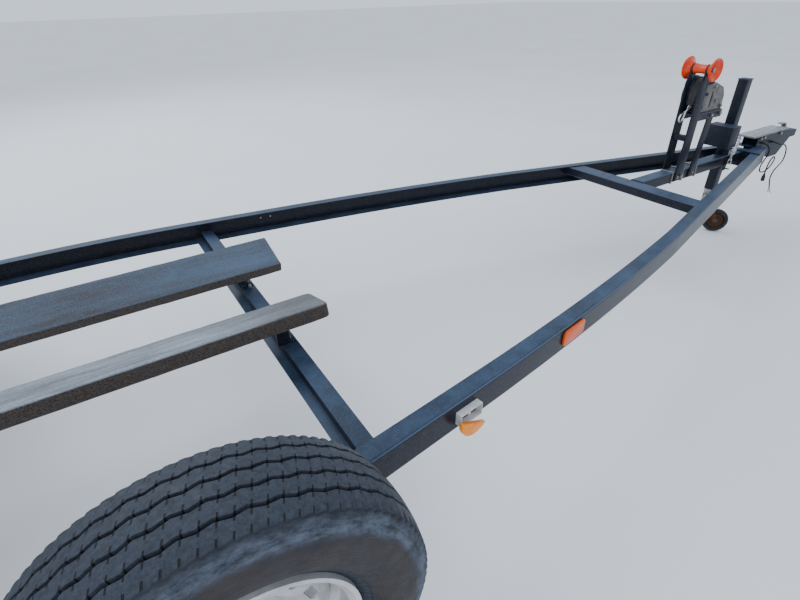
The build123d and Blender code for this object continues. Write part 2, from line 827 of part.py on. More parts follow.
# Winch stand: two upright legs with rounded tips, shelf with side flanges, braces and a cross bar
leg_bottom = beam_bottom + 8
leg_rear_x = leg_x - leg_width / 2
stand_half = beam_width / 2 + leg_wall
with BuildPart() as winch_stand:
    for side in (1, -1):
        leg_plane = Plane.XZ.offset(side * beam_width / 2)
        with BuildSketch(leg_plane):
            with Locations((roller_x, roller_z)):
                Circle(leg_tip_radius)
            with Locations((leg_x, leg_bottom)):
                Rectangle(leg_width, leg_taper_z - leg_bottom, align=(Align.CENTER, Align.MIN))
            make_hull()
        extrude(amount=side * leg_wall)
        with BuildSketch(leg_plane):
            with BuildLine():
                Polyline(
                    (brace_foot_x, leg_bottom),
                    (brace_foot_x + brace_width, leg_bottom),
                    (brace_top_x + brace_width, shelf_top - shelf_wall),
                    (brace_top_x, shelf_top - shelf_wall),
                    close=True,
                )
            make_face()
        extrude(amount=side * leg_wall)
        with BuildSketch(leg_plane):
            with Locations(((leg_rear_x + shelf_front_x) / 2, shelf_top)):
                Rectangle(shelf_front_x - leg_rear_x, shelf_depth, align=(Align.CENTER, Align.MAX))
        extrude(amount=side * leg_wall)
    with BuildSketch(Plane.XY.offset(shelf_top)):
        with Locations(((leg_rear_x + shelf_front_x) / 2, 0)):
            Rectangle(shelf_front_x - leg_rear_x, 2 * stand_half)
    extrude(amount=-shelf_wall)
    with BuildSketch(Plane.YZ.offset(leg_rear_x + 10)):
        with Locations((0, cross_bar_z)):
            Rectangle(beam_width + leg_wall, cross_bar_height)
    extrude(amount=cross_bar_height)
    with BuildSketch(Plane.XZ):
        with Locations((roller_x, roller_z)):
            Circle(roller_shaft_radius + roller_play)
    extrude(amount=stand_half, both=True, mode=Mode.SUBTRACT)
winch_stand.part.label = "winch_stand"
export_step(winch_stand.part, "parts/winch_stand.step")

# Straps that clamp the stand to the beam
with BuildPart() as beam_straps:
    for x in strap_xs:
        with BuildSketch(Plane.YZ.offset(x - strap_width / 2)):
            with Locations((0, beam_middle_z)):
                Rectangle(beam_width + 2 * strap_wall, beam_height + 2 * strap_wall)
                Rectangle(beam_width, beam_height, mode=Mode.SUBTRACT)
        extrude(amount=strap_width)
beam_straps.part.label = "beam_straps"
export_step(beam_straps.part, "parts/beam_straps.step")

# Bow roller: two bells outside the legs and a waist between them, on one shaft
roller_half = roller_length / 2
shaft_half = roller_half - roller_cup_depth
roller_bore = roller_shaft_radius + roller_play
roller_axis = Axis((roller_x, 0, roller_z), (0, 1, 0))
with BuildPart() as roller_shaft:
    with BuildSketch(Plane.XZ.offset(-shaft_half)):
        with Locations((roller_x, roller_z)):
            Circle(roller_shaft_radius)
    extrude(amount=2 * shaft_half)
    for side in (1, -1):
        with BuildSketch(Plane.XZ.offset(side * shaft_half)):
            with Locations((roller_x, roller_z)):
                RegularPolygon(13, 6)
        extrude(amount=side * 9)
roller_shaft.part.label = "roller_shaft"
export_step(roller_shaft.part, "parts/roller_shaft.step")
bell_inner_y = stand_half + roller_side_gap
waist_half = beam_width / 2 - roller_side_gap
with BuildPart() as bow_roller:
    for side in (1, -1):
        with BuildSketch(wheel_plane(roller_x, 0, roller_z, side)):
            with BuildLine():
                waist_top = (bell_inner_y, roller_waist_radius + 7)
                flare_inner = (roller_half - 8, roller_flare_radius)
                ThreePointArc(waist_top, (bell_inner_y + 16, roller_waist_radius + 18), flare_inner)
                Polyline(
                    flare_inner,
                    (roller_half, roller_flare_radius - 3),
                    (roller_half - 3, roller_flare_radius - 8),
                    (shaft_half - 4, 18),
                    (shaft_half - 4, roller_bore),
                    (bell_inner_y, roller_bore),
                    waist_top,
                )
            make_face()
        revolve(axis=roller_axis)
    with BuildSketch(wheel_plane(roller_x, 0, roller_z, 1)):
        with BuildLine():
            Polyline(
                (-waist_half, roller_waist_radius + 4),
                (-waist_half, roller_bore),
                (waist_half, roller_bore),
                (waist_half, roller_waist_radius + 4),
            )
            ThreePointArc((waist_half, roller_waist_radius + 4), (0, roller_waist_radius), (-waist_half, roller_waist_radius + 4))
        make_face()
    revolve(axis=roller_axis)
bow_roller.part.label = "bow_roller"
export_step(bow_roller.part, "parts/bow_roller.step")

# Winch: two cheeks on a base, drum with its wound strap, crank on a shaft of its own
cheek_bore = winch_shaft_radius + winch_play
with BuildPart() as winch_frame:
    with BuildSketch(Plane.XY.offset(shelf_top)):
        with Locations(((cheek_rear_x + cheek_front_x) / 2, 0)):
            Rectangle(cheek_front_x - cheek_rear_x, 2 * cheek_y)
    extrude(amount=cheek_wall)
    for side in (1, -1):
        with BuildSketch(Plane.XZ.offset(side * (cheek_y - cheek_wall))):
            with BuildLine():
                Polyline(
                    (cheek_rear_x, shelf_top),
                    (cheek_rear_x + 15, drum_z + 49),
                    (drum_x + 70, drum_z + 57),
                    (crank_x + 44, crank_z + 68),
                    (crank_x + 73, crank_z + 21),
                    (cheek_front_x, shelf_top),
                    close=True,
                )
            make_face()
            with Locations((drum_x, drum_z), (crank_x, crank_z)):
                Circle(cheek_bore, mode=Mode.SUBTRACT)
            with Locations((cheek_slot_x, cheek_slot_z)):
                SlotOverall(90, 10, rotation=90, mode=Mode.SUBTRACT)
        extrude(amount=side * cheek_wall)
winch_frame.part.label = "winch_frame"
export_step(winch_frame.part, "parts/winch_frame.step")
drum_half = cheek_y - cheek_wall - 3
gear_y = stand_half + gear_side_gap
shaft_end_y = cheek_y + 6
with BuildPart() as winch_drum:
    with BuildSketch(wheel_plane(drum_x, 0, drum_z, 1)):
        with BuildLine():
            Polyline(
                (-shaft_end_y, 0),
                (-shaft_end_y, winch_shaft_radius),
                (-drum_half, winch_shaft_radius),
                (-drum_half, drum_flange_radius),
                (-drum_half + 3, drum_flange_radius),
                (-drum_half + 3, strap_radius),
                (drum_half - 3, strap_radius),
                (drum_half - 3, drum_flange_radius),
                (drum_half, drum_flange_radius),
                (drum_half, winch_shaft_radius),
                (gear_y, winch_shaft_radius),
                (gear_y, gear_radius),
                (gear_y + gear_wall, gear_radius),
                (gear_y + gear_wall, 0),
                close=True,
            )
        make_face()
    revolve(axis=Axis((drum_x, 0, drum_z), (0, 1, 0)))
winch_drum.part.label = "winch_drum"
export_step(winch_drum.part, "parts/winch_drum.step")
arm_y = gear_y + gear_wall + gear_side_gap
pinion_radius = hypot(crank_x - drum_x, crank_z - drum_z) - gear_radius - gear_gap
with BuildPart() as winch_crank:
    with BuildSketch(Plane.XZ.offset(shaft_end_y)):
        with Locations((crank_x, crank_z)):
            Circle(winch_shaft_radius)
    extrude(amount=-(shaft_end_y + arm_y))
    with BuildSketch(Plane.XZ.offset(-gear_y)):
        with Locations((crank_x, crank_z)):
            Circle(pinion_radius)
    extrude(amount=-gear_wall)
    with BuildSketch(Plane.XZ.offset(-arm_y)):
        with Locations((crank_x + crank_length / 2, crank_z)):
            SlotOverall(crank_length + crank_width, crank_width)
    extrude(amount=-8)
    with BuildSketch(Plane.XZ.offset(-(arm_y + 8))):
        with Locations((crank_x + crank_length, crank_z)):
            Circle(12)
    extrude(amount=-90)
winch_crank.part.label = "winch_crank"
export_step(winch_crank.part, "parts/winch_crank.step")

# Strap tail: straight down from the drum's rear to the hook's eye
strap_half = drum_half - 8
tail_x = drum_x - strap_radius - strap_gap - strap_thick
hook_eye_x = tail_x + strap_thick / 2
hook_eye_z = shelf_top + hook_drop
tail_end_z = hook_eye_z + hook_ring_radius + 4
with BuildPart() as strap_tail:
    with BuildSketch(Plane.XZ.offset(strap_half)):
        with Locations((hook_eye_x, tail_end_z)):
            Rectangle(strap_thick, drum_z - tail_end_z, align=(Align.CENTER, Align.MIN))
    extrude(amount=-2 * strap_half)
strap_tail.part.label = "strap_tail"
export_step(strap_tail.part, "parts/strap_tail.step")

# Snap hook: eye, shank and closed bend, its shank just off the shelf's rear edge
edge_run = hook_eye_x - leg_rear_x
hook_lean = atan(hook_drop / edge_run) - asin((hook_half + skin_gap) / hypot(edge_run, hook_drop))
hook_plane = Plane(
    origin=(hook_eye_x, -hook_thick / 2, hook_eye_z),
    x_dir=(-cos(hook_lean), 0, -sin(hook_lean)),
    z_dir=(0, 1, 0),
)
with BuildPart() as strap_hook:
    with BuildSketch(hook_plane):
        Circle(hook_ring_radius)
        with Locations((hook_reach / 2, 0)):
            Rectangle(hook_reach, 2 * hook_half)
        with Locations((hook_reach, 0)):
            Circle(hook_bend_radius)
            Circle(hook_bend_hole, mode=Mode.SUBTRACT)
        Circle(hook_ring_hole, mode=Mode.SUBTRACT)
    extrude(amount=hook_thick)
    with BuildSketch(Plane.XZ.offset(hook_thick / 2)):
        with Locations((hook_eye_x, tail_end_z)):
            Rectangle(14, tail_end_z - hook_eye_z - hook_ring_hole, align=(Align.CENTER, Align.MAX))
    extrude(amount=-hook_thick)
strap_hook.part.label = "strap_hook"
export_step(strap_hook.part, "parts/strap_hook.step")

# Jack: outer tube through the beam, inner tube with a flange, fork and wheel
with BuildPart() as jack_outer_tube:
    with BuildSketch(Plane.XY.offset(jack_bottom)):
        with Locations((jack_x, 0)):
            Rectangle(jack_side, jack_side)
            Rectangle(jack_side - 2 * jack_wall, jack_side - 2 * jack_wall, mode=Mode.SUBTRACT)
    extrude(amount=jack_top - jack_bottom)
    with BuildSketch(Plane.XY.offset(jack_top)):
        with Locations((jack_x, 0)):
            Rectangle(jack_side + 6, jack_side + 6)
    extrude(amount=6)
jack_outer_tube.part.label = "jack_outer_tube"
export_step(jack_outer_tube.part, "parts/jack_outer_tube.step")
inner_side = jack_side - 2 * jack_wall - 2 * jack_play
kingpin_bore = kingpin_radius + caster_play
with BuildPart() as jack_inner_tube:
    with BuildSketch(Plane.XY.offset(fork_top)):
        with Locations((jack_x, 0)):
            Rectangle(inner_side + 24, inner_side + 24)
    extrude(amount=jack_flange_wall)
    with BuildSketch(Plane.XY.offset(fork_top + jack_flange_wall)):
        with Locations((jack_x, 0)):
            Rectangle(inner_side, inner_side)
            Rectangle(inner_side - 2 * jack_wall, inner_side - 2 * jack_wall, mode=Mode.SUBTRACT)
    extrude(amount=jack_inner_top - fork_top - jack_flange_wall)
    with BuildSketch(Plane.XY.offset(fork_top)):
        with Locations((jack_x, 0)):
            Circle(kingpin_bore)
    extrude(amount=jack_flange_wall, mode=Mode.SUBTRACT)
jack_inner_tube.part.label = "jack_inner_tube"
export_step(jack_inner_tube.part, "parts/jack_inner_tube.step")
turn = radians(caster_turn)
caster_origin = (jack_x, 0, 0)
fork_plan = Plane(origin=caster_origin, x_dir=(cos(turn), sin(turn), 0), z_dir=(0, 0, 1))
fork_side_plane = Plane(origin=caster_origin, x_dir=(cos(turn), sin(turn), 0), z_dir=(sin(turn), -cos(turn), 0))
fork_half = caster_width / 2 + 5
fork_under = fork_top - fork_wall
with BuildPart() as caster_fork:
    with BuildSketch(fork_plan.offset(fork_under)):
        Circle(38)
        with Locations((12, 0)):
            Rectangle(62, 2 * (fork_half + fork_wall))
    extrude(amount=fork_wall)
    with BuildSketch(fork_plan.offset(fork_top)):
        Circle(kingpin_radius)
    extrude(amount=jack_flange_wall + 10)
    for side in (1, -1):
        with BuildSketch(fork_side_plane.offset(side * fork_half)):
            with BuildLine():
                Polyline(
                    (-19, fork_under),
                    (43, fork_under),
                    (caster_trail + 16, caster_radius + 2),
                    (caster_trail + 8, caster_radius - 16),
                    (caster_trail - 12, caster_radius - 14),
                    close=True,
                )
            make_face()
        extrude(amount=side * fork_wall)
    with BuildSketch(fork_side_plane.offset(-fork_half)):
        with Locations((caster_trail, caster_radius)):
            Circle(pin_radius)
    extrude(amount=2 * fork_half)
caster_fork.part.label = "caster_fork"
export_step(caster_fork.part, "parts/caster_fork.step")
wheel_centre = (
    jack_x + caster_trail * cos(turn),
    caster_trail * sin(turn),
    caster_radius,
)
axle_direction = (sin(turn), -cos(turn), 0)
half = caster_width / 2
with BuildPart() as caster_wheel:
    with BuildSketch(Plane(origin=wheel_centre, x_dir=axle_direction, z_dir=(cos(turn), sin(turn), 0))):
        with BuildLine():
            pin_bore = pin_radius + caster_play
            Polyline(
                (-half, pin_bore),
                (-half, 26),
                (-half + 12, 30),
                (-half + 12, caster_radius - 28),
                (-half, caster_radius - 22),
                (-half, caster_radius - 6),
            )
            ThreePointArc((-half, caster_radius - 6), (0, caster_radius), (half, caster_radius - 6))
            Polyline(
                (half, caster_radius - 6),
                (half, caster_radius - 22),
                (half - 12, caster_radius - 28),
                (half - 12, 30),
                (half, 26),
                (half, pin_bore),
                (-half, pin_bore),
            )
        make_face()
    revolve(axis=Axis(wheel_centre, axle_direction))
caster_wheel.part.label = "caster_wheel"
export_step(caster_wheel.part, "parts/caster_wheel.step")

# Sheet box on the post's rear face, open below
box_front_x = jack_x - jack_side / 2
with BuildPart() as tongue_box:
    with BuildSketch(Plane.XY.offset(box_bottom)):
        with Locations((box_front_x, 0)):
            Rectangle(box_length, box_width, align=(Align.MAX, Align.CENTER))
    extrude(amount=box_top - box_bottom)
    offset(amount=-box_wall, openings=tongue_box.faces().sort_by(Axis.Z)[0])
tongue_box.part.label = "tongue_box"
export_step(tongue_box.part, "parts/tongue_box.step")

# Side marker lamps: open housings on the rails, the left one closed by its lens
with BuildPart() as marker_lamps:
    for side_name, side in sides:
        with BuildSketch(rail_skin(marker_x, marker_z, side)):
            Rectangle(marker_length, marker_height)
        extrude(amount=marker_depth)
        with BuildSketch(rail_skin(marker_x, marker_z, side).offset(marker_wall)):
            Rectangle(marker_length - 2 * marker_wall, marker_height - 2 * marker_wall)
        extrude(amount=marker_depth, mode=Mode.SUBTRACT)
marker_lamps.part.label = "marker_lamps"
export_step(marker_lamps.part, "parts/marker_lamps.step")
lens_skin = rail_skin(marker_x, marker_z, 1).offset(marker_depth)
with BuildPart() as marker_lens_left:
    with BuildSketch(lens_skin):
        Rectangle(marker_length, marker_height)
    with BuildSketch(lens_skin.offset(lens_depth)):
        Rectangle(marker_length - 24, marker_height - 16)
    loft()
marker_lens_left.part.label = "marker_lens_left"
export_step(marker_lens_left.part, "parts/marker_lens_left.step")

# Right lens, broken off and hanging across the housing's lower rear corner
with BuildPart() as marker_lens_right:
    with BuildSketch(rail_skin(marker_x, marker_z, -1).offset(marker_depth)):
        with BuildLine():
            lens_rear = (-marker_length / 2 - 9, 6)
            lens_front = (marker_length / 2 + 3, -marker_height / 2 - 24)
            ThreePointArc(lens_rear, (-22, -marker_height / 2 - 36), lens_front)
            Line(lens_front, lens_rear)
        make_face()
    extrude(amount=lens_depth)
marker_lens_right.part.label = "marker_lens_right"
export_step(marker_lens_right.part, "parts/marker_lens_right.step")

# Reflectors on the rails' webs
with BuildPart() as reflectors:
    for side_name, side in sides:
        with BuildSketch(rail_skin(reflector_x, reflector_z, side)):
            RectangleRounded(reflector_length, reflector_height, 16)
        extrude(amount=reflector_wall)
reflectors.part.label = "reflectors"
export_step(reflectors.part, "parts/reflectors.step")

# Tail lamps behind the rear member
with BuildPart() as tail_lamps:
    with BuildSketch(Plane.YZ.offset(rear_end_x)):
        with Locations((tail_lamp_y, rail_bottom + rail_height / 2), (-tail_lamp_y, rail_bottom + rail_height / 2)):
            RectangleRounded(160, 80, 10)
    extrude(amount=rear_setback)
tail_lamps.part.label = "tail_lamps"
export_step(tail_lamps.part, "parts/tail_lamps.step")

# Safety chain from a bolt under the step plate, over the beam's edge, to a bolt in the beam's lug
chain_pitch = chain_link_length - 4 * chain_wire_radius - 1
half_width = chain_link_width / 2 - chain_wire_radius
half_run = chain_link_length / 2 - chain_link_width / 2
end_gap = chain_link_length / 2 + chain_bolt_radius + 0.8
with BuildPart() as safety_chain:
    turned = False
    for start_point, end_point, lead in zip(chain_route, chain_route[1:], (end_gap, chain_pitch)):
        run = Vector(*end_point) - Vector(*start_point)
        along = run.normalized()
        sideways = (Vector(0, 1, 0) - along * along.Y).normalized()
        distance = lead
        while distance <= run.length - (end_gap if end_point == chain_route[-1] else 0):
            turned = not turned
            across = sideways if turned else along.cross(sideways)
            centre = Vector(*start_point) + along * distance
            link_plane = Plane(origin=centre, x_dir=across, z_dir=across.cross(along))
            with BuildLine(link_plane):
                start = (half_width, -half_run)
                Line(start, (half_width, half_run))
                ThreePointArc((half_width, half_run), (0, half_run + half_width), (-half_width, half_run))
                Line((-half_width, half_run), (-half_width, -half_run))
                ThreePointArc((-half_width, -half_run), (0, -half_run - half_width), start)
            with BuildSketch(Plane(origin=link_plane.from_local_coords(start), z_dir=along)):
                RegularPolygon(chain_wire_radius, 8)
            sweep()
            distance += chain_pitch
safety_chain.part.label = "safety_chain"
export_step(safety_chain.part, "parts/safety_chain.step")

# Wiring: two leads that leave the coupler's right side and hang beside it
wall_y = -housing_width / 2
# Routes: x, y, z of each point
plug_lead = [
    (coupler_tip_x - 515, wall_y, 556),
    (coupler_tip_x - 515, wall_y - 38, 556),
    (coupler_tip_x - 490, wall_y - 58, 516),
    (coupler_tip_x - 498, wall_y - 58, 468),
    (coupler_tip_x - 530, wall_y - 54, 428),
    (coupler_tip_x - 518, wall_y - 48, 376),
    (coupler_tip_x - 462, wall_y - 44, 348),
    (coupler_tip_x - 396, wall_y - 42, 346),
    (coupler_tip_x - 342, wall_y - 44, 376),
    (coupler_tip_x - 338, wall_y - 50, 428),
    (coupler_tip_x - 388, wall_y - 58, 458),
    (coupler_tip_x - 440, wall_y - 64, 436),
    (coupler_tip_x - 458, wall_y - 66, 388),
    (coupler_tip_x - 454, wall_y - 66, 342),
]
lamp_lead = [
    (coupler_tip_x - 382, wall_y, 545),
    (coupler_tip_x - 382, wall_y - 38, 545),
    (coupler_tip_x - 346, wall_y - 58, 526),
    (coupler_tip_x - 294, wall_y - 54, 524),
    (coupler_tip_x - 240, wall_y - 56, 498),
    (coupler_tip_x - 212, wall_y - 58, 446),
    (coupler_tip_x - 218, wall_y - 60, 392),
    (coupler_tip_x - 266, wall_y - 60, 366),
    (coupler_tip_x - 304, wall_y - 56, 330),
    (coupler_tip_x - 302, wall_y - 52, 276),
    (coupler_tip_x - 268, wall_y - 50, 232),
    (coupler_tip_x - 240, wall_y - 50, 190),
]
for lead_name, route in [("plug_lead", plug_lead), ("lamp_lead", lamp_lead)]:
    points = [Vector(*point) for point in route]
    radii = []
    for before, corner, after in zip(points, points[1:], points[2:]):
        bend = radians((corner - before).get_angle(after - corner))
        shorter = min((corner - before).length, (after - corner).length)
        radii.append(0.45 * shorter / tan(bend / 2))
    print(lead_name, "radii", [round(radius) for radius in radii])
    with BuildPart() as lead:
        with BuildLine() as lead_line:
            FilletPolyline(*points, radius=radii)
        with BuildSketch(Plane(origin=points[0], z_dir=points[1] - points[0])):
            Circle(wire_radius)
        sweep()
    length = lead_line.wire().length
    section = pi * wire_radius**2
    print(lead_name, "length", round(length), "volume ratio", round(lead.part.volume / section / length, 4))
    lead.part.label = lead_name
    export_step(lead.part, f"parts/{lead_name}.step")
plug_end = plug_lead[-1]
with BuildPart() as trailer_plug:
    plug_plane = Plane(origin=plug_end, z_dir=Vector(*plug_lead[-1]) - Vector(*plug_lead[-2]))
    with BuildSketch(plug_plane):
        Circle(9)
    with BuildSketch(plug_plane.offset(16)):
        Circle(13)
    loft()
    with BuildSketch(plug_plane.offset(16)):
        RectangleRounded(30, 24, 4)
    extrude(amount=32)
trailer_plug.part.label = "trailer_plug"
export_step(trailer_plug.part, "parts/trailer_plug.step")
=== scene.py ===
import json
import math

import bmesh
import bpy
from mathutils import Matrix, Vector


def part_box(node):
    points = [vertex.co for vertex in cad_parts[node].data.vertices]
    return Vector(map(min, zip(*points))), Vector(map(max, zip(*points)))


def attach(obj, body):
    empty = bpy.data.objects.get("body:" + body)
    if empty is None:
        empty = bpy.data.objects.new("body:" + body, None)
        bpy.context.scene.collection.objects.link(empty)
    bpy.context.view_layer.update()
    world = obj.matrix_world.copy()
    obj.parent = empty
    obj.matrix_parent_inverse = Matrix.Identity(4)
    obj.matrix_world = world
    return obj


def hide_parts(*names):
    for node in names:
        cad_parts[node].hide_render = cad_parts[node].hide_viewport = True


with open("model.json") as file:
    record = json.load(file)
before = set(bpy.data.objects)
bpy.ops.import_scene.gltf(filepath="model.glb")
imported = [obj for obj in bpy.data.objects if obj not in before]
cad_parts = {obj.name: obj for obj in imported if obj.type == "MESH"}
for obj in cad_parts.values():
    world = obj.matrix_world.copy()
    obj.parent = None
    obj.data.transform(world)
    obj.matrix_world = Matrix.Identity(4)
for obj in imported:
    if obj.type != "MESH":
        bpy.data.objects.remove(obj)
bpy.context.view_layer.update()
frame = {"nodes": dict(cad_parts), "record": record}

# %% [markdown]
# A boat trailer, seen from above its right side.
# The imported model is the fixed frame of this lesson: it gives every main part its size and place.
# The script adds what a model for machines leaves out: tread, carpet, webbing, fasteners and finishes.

nodes = frame["nodes"]
node_slot = {part["node"]: part["material_slot"] for part in frame["record"]["subparts"]}
joints = {joint["name"]: joint for joint in frame["record"]["behaviour"]["joints"]}
joint_place = {name: Vector(joint["pos_m"]) for name, joint in joints.items() if "pos_m" in joint}


def vectors(box):
    """A box's low and high corners as vectors."""
    return Vector(box[0]), Vector(box[1])


# %% [markdown]
# The camera stands where the photograph was taken, at eye height beside the right rail.
# It could be aimed with a constraint. Three angles written out are easier to compare with the picture,
# and the camera's axes are built from them directly.

# %% Camera
eye = Vector((-0.967, -1.609, 1.483))
heading = math.radians(58.2)
down_tilt = math.radians(32.14)
roll = math.radians(-1.43)
sensor_width = 36.0
# Focal length over the picture's width, both in pixels
focal_share = 488.5 / 800
near_clip = 0.05

look = Vector(
    (math.cos(heading) * math.cos(down_tilt), math.sin(heading) * math.cos(down_tilt), -math.sin(down_tilt))
)
level_right = Vector((math.sin(heading), -math.cos(heading), 0))
level_up = level_right.cross(look)
right = math.cos(roll) * level_right + math.sin(roll) * level_up
up = -math.sin(roll) * level_right + math.cos(roll) * level_up
camera_data = bpy.data.cameras.new("camera")
camera_data.sensor_width = sensor_width
camera_data.lens = sensor_width * focal_share
camera_data.clip_start = near_clip
camera = bpy.data.objects.new("camera", camera_data)
camera.matrix_world = Matrix((right, up, -look)).transposed().to_4x4()
camera.location = eye
bpy.context.scene.collection.objects.link(camera)
bpy.context.scene.camera = camera
print("camera at", tuple(round(value, 3) for value in eye), "lens", round(camera_data.lens, 2))

# %% [markdown]
# Soft daylight comes from a pale sky and three large lamps, so dark paint shows its gloss along the edges.
# A sky texture could do the same, but plain square lamps are steadier between views.

# %% Lights and floor
cool_daylight = (0.88, 0.94, 1.0)
pale_daylight = (0.97, 0.98, 1.0)
sky_color = (0.78, 0.87, 1.0)
sky_strength = 1.15
floor_width = 120


def area_light(name, place, target, size, power, color):
    """A soft square light that points at target; size in metres, power in watts."""
    data = bpy.data.lights.new(name, "AREA")
    data.shape = "SQUARE"
    data.size = size
    data.energy = power
    data.color = color
    light = bpy.data.objects.new(name, data)
    light.location = place
    light.rotation_euler = (Vector(target) - Vector(place)).to_track_quat("-Z", "Y").to_euler()
    bpy.context.scene.collection.objects.link(light)
    print(name, power, "W")


area_light("key_light", (-1.5, 5.5, 6.0), (0.8, 0.0, 0.3), 6.0, 330, cool_daylight)
area_light("fill_light", (-4.0, -6.5, 4.5), (0.0, 0.0, 0.4), 5.0, 150, pale_daylight)
area_light("nose_light", (7.0, -2.0, 4.5), (2.4, 0.0, 0.6), 3.5, 16, pale_daylight)

world = bpy.data.worlds.new("studio")
world.use_nodes = True
background = world.node_tree.nodes["Background"]
background.inputs["Color"].default_value = (*sky_color, 1)
background.inputs["Strength"].default_value = sky_strength
bpy.context.scene.world = world

bpy.ops.object.select_all(action="DESELECT")
bpy.ops.mesh.primitive_plane_add(size=floor_width, location=(0, 0, 0))
floor = bpy.context.object
floor.name = "floor"

# %% [markdown]
# Two leads leave the coupler's right side and hang in stiff loops: one ends in a plug, one in bare strands.
# A tube swept along straight runs would look like bent wire.
# A smooth spline whose control points are the route's corners bends the way sheathed cable does.

# %% Routes of the leads
coupler_side_y = -0.048
lead_thickness = 0.008


def lead_route(*corners):
    """A route's corners, each given as x, distance out from the coupler's side, and height."""
    return [(x, coupler_side_y - out, height) for x, out, height in corners]


plug_route = lead_route(
    (2.965, 0.0, 0.556),
    (2.965, 0.038, 0.556),
    (2.990, 0.058, 0.516),
    (2.982, 0.058, 0.468),
    (2.950, 0.054, 0.428),
    (2.962, 0.048, 0.376),
    (3.018, 0.044, 0.348),
    (3.084, 0.042, 0.346),
    (3.138, 0.044, 0.376),
    (3.142, 0.050, 0.428),
    (3.092, 0.058, 0.458),
    (3.040, 0.064, 0.436),
    (3.022, 0.066, 0.388),
    (3.026, 0.066, 0.342),
)
lamp_route = lead_route(
    (3.098, 0.0, 0.545),
    (3.098, 0.038, 0.545),
    (3.134, 0.058, 0.526),
    (3.186, 0.054, 0.524),
    (3.240, 0.056, 0.498),
    (3.268, 0.058, 0.446),
    (3.262, 0.060, 0.392),
    (3.214, 0.060, 0.366),
    (3.176, 0.056, 0.330),
    (3.178, 0.052, 0.276),
    (3.212, 0.050, 0.232),
    (3.240, 0.050, 0.190),
)
print("corners of the routes", len(plug_route), len(lamp_route))

# %% Leads


def hang_lead(name, route):
    """A round lead along a smooth spline through its route."""
    curve = bpy.data.curves.new(name, "CURVE")
    curve.dimensions = "3D"
    curve.bevel_depth = 1.0
    curve.bevel_resolution = 3
    curve.resolution_u = 12
    curve.use_fill_caps = True
    spline = curve.splines.new("NURBS")
    spline.points.add(len(route) - 1)
    for point, place in zip(spline.points, route):
        point.co = (*place, 1)
        # A curve's box grows by its points' radii, so they hold the lead's real radius and the bevel is 1 m
        point.radius = lead_thickness / 2
    spline.order_u = 3
    spline.use_endpoint_u = True
    lead = bpy.data.objects.new(name, curve)
    bpy.context.scene.collection.objects.link(lead)
    print(name, "spline", round(spline.calc_length(), 3))
    return lead


plug_lead = hang_lead("plug_lead_cable", plug_route)
lamp_lead = hang_lead("lamp_lead_cable", lamp_route)
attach(plug_lead, "trailer")
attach(lamp_lead, "trailer")
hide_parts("plug_lead")
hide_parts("lamp_lead")

# %% [markdown]
# Finishes are node graphs on object coordinates, in metres, so a scratch has the same size on every part.
# A small class keeps each graph to a few lines: it makes nodes, links them and sets the shader's sockets.

# %% Material helpers


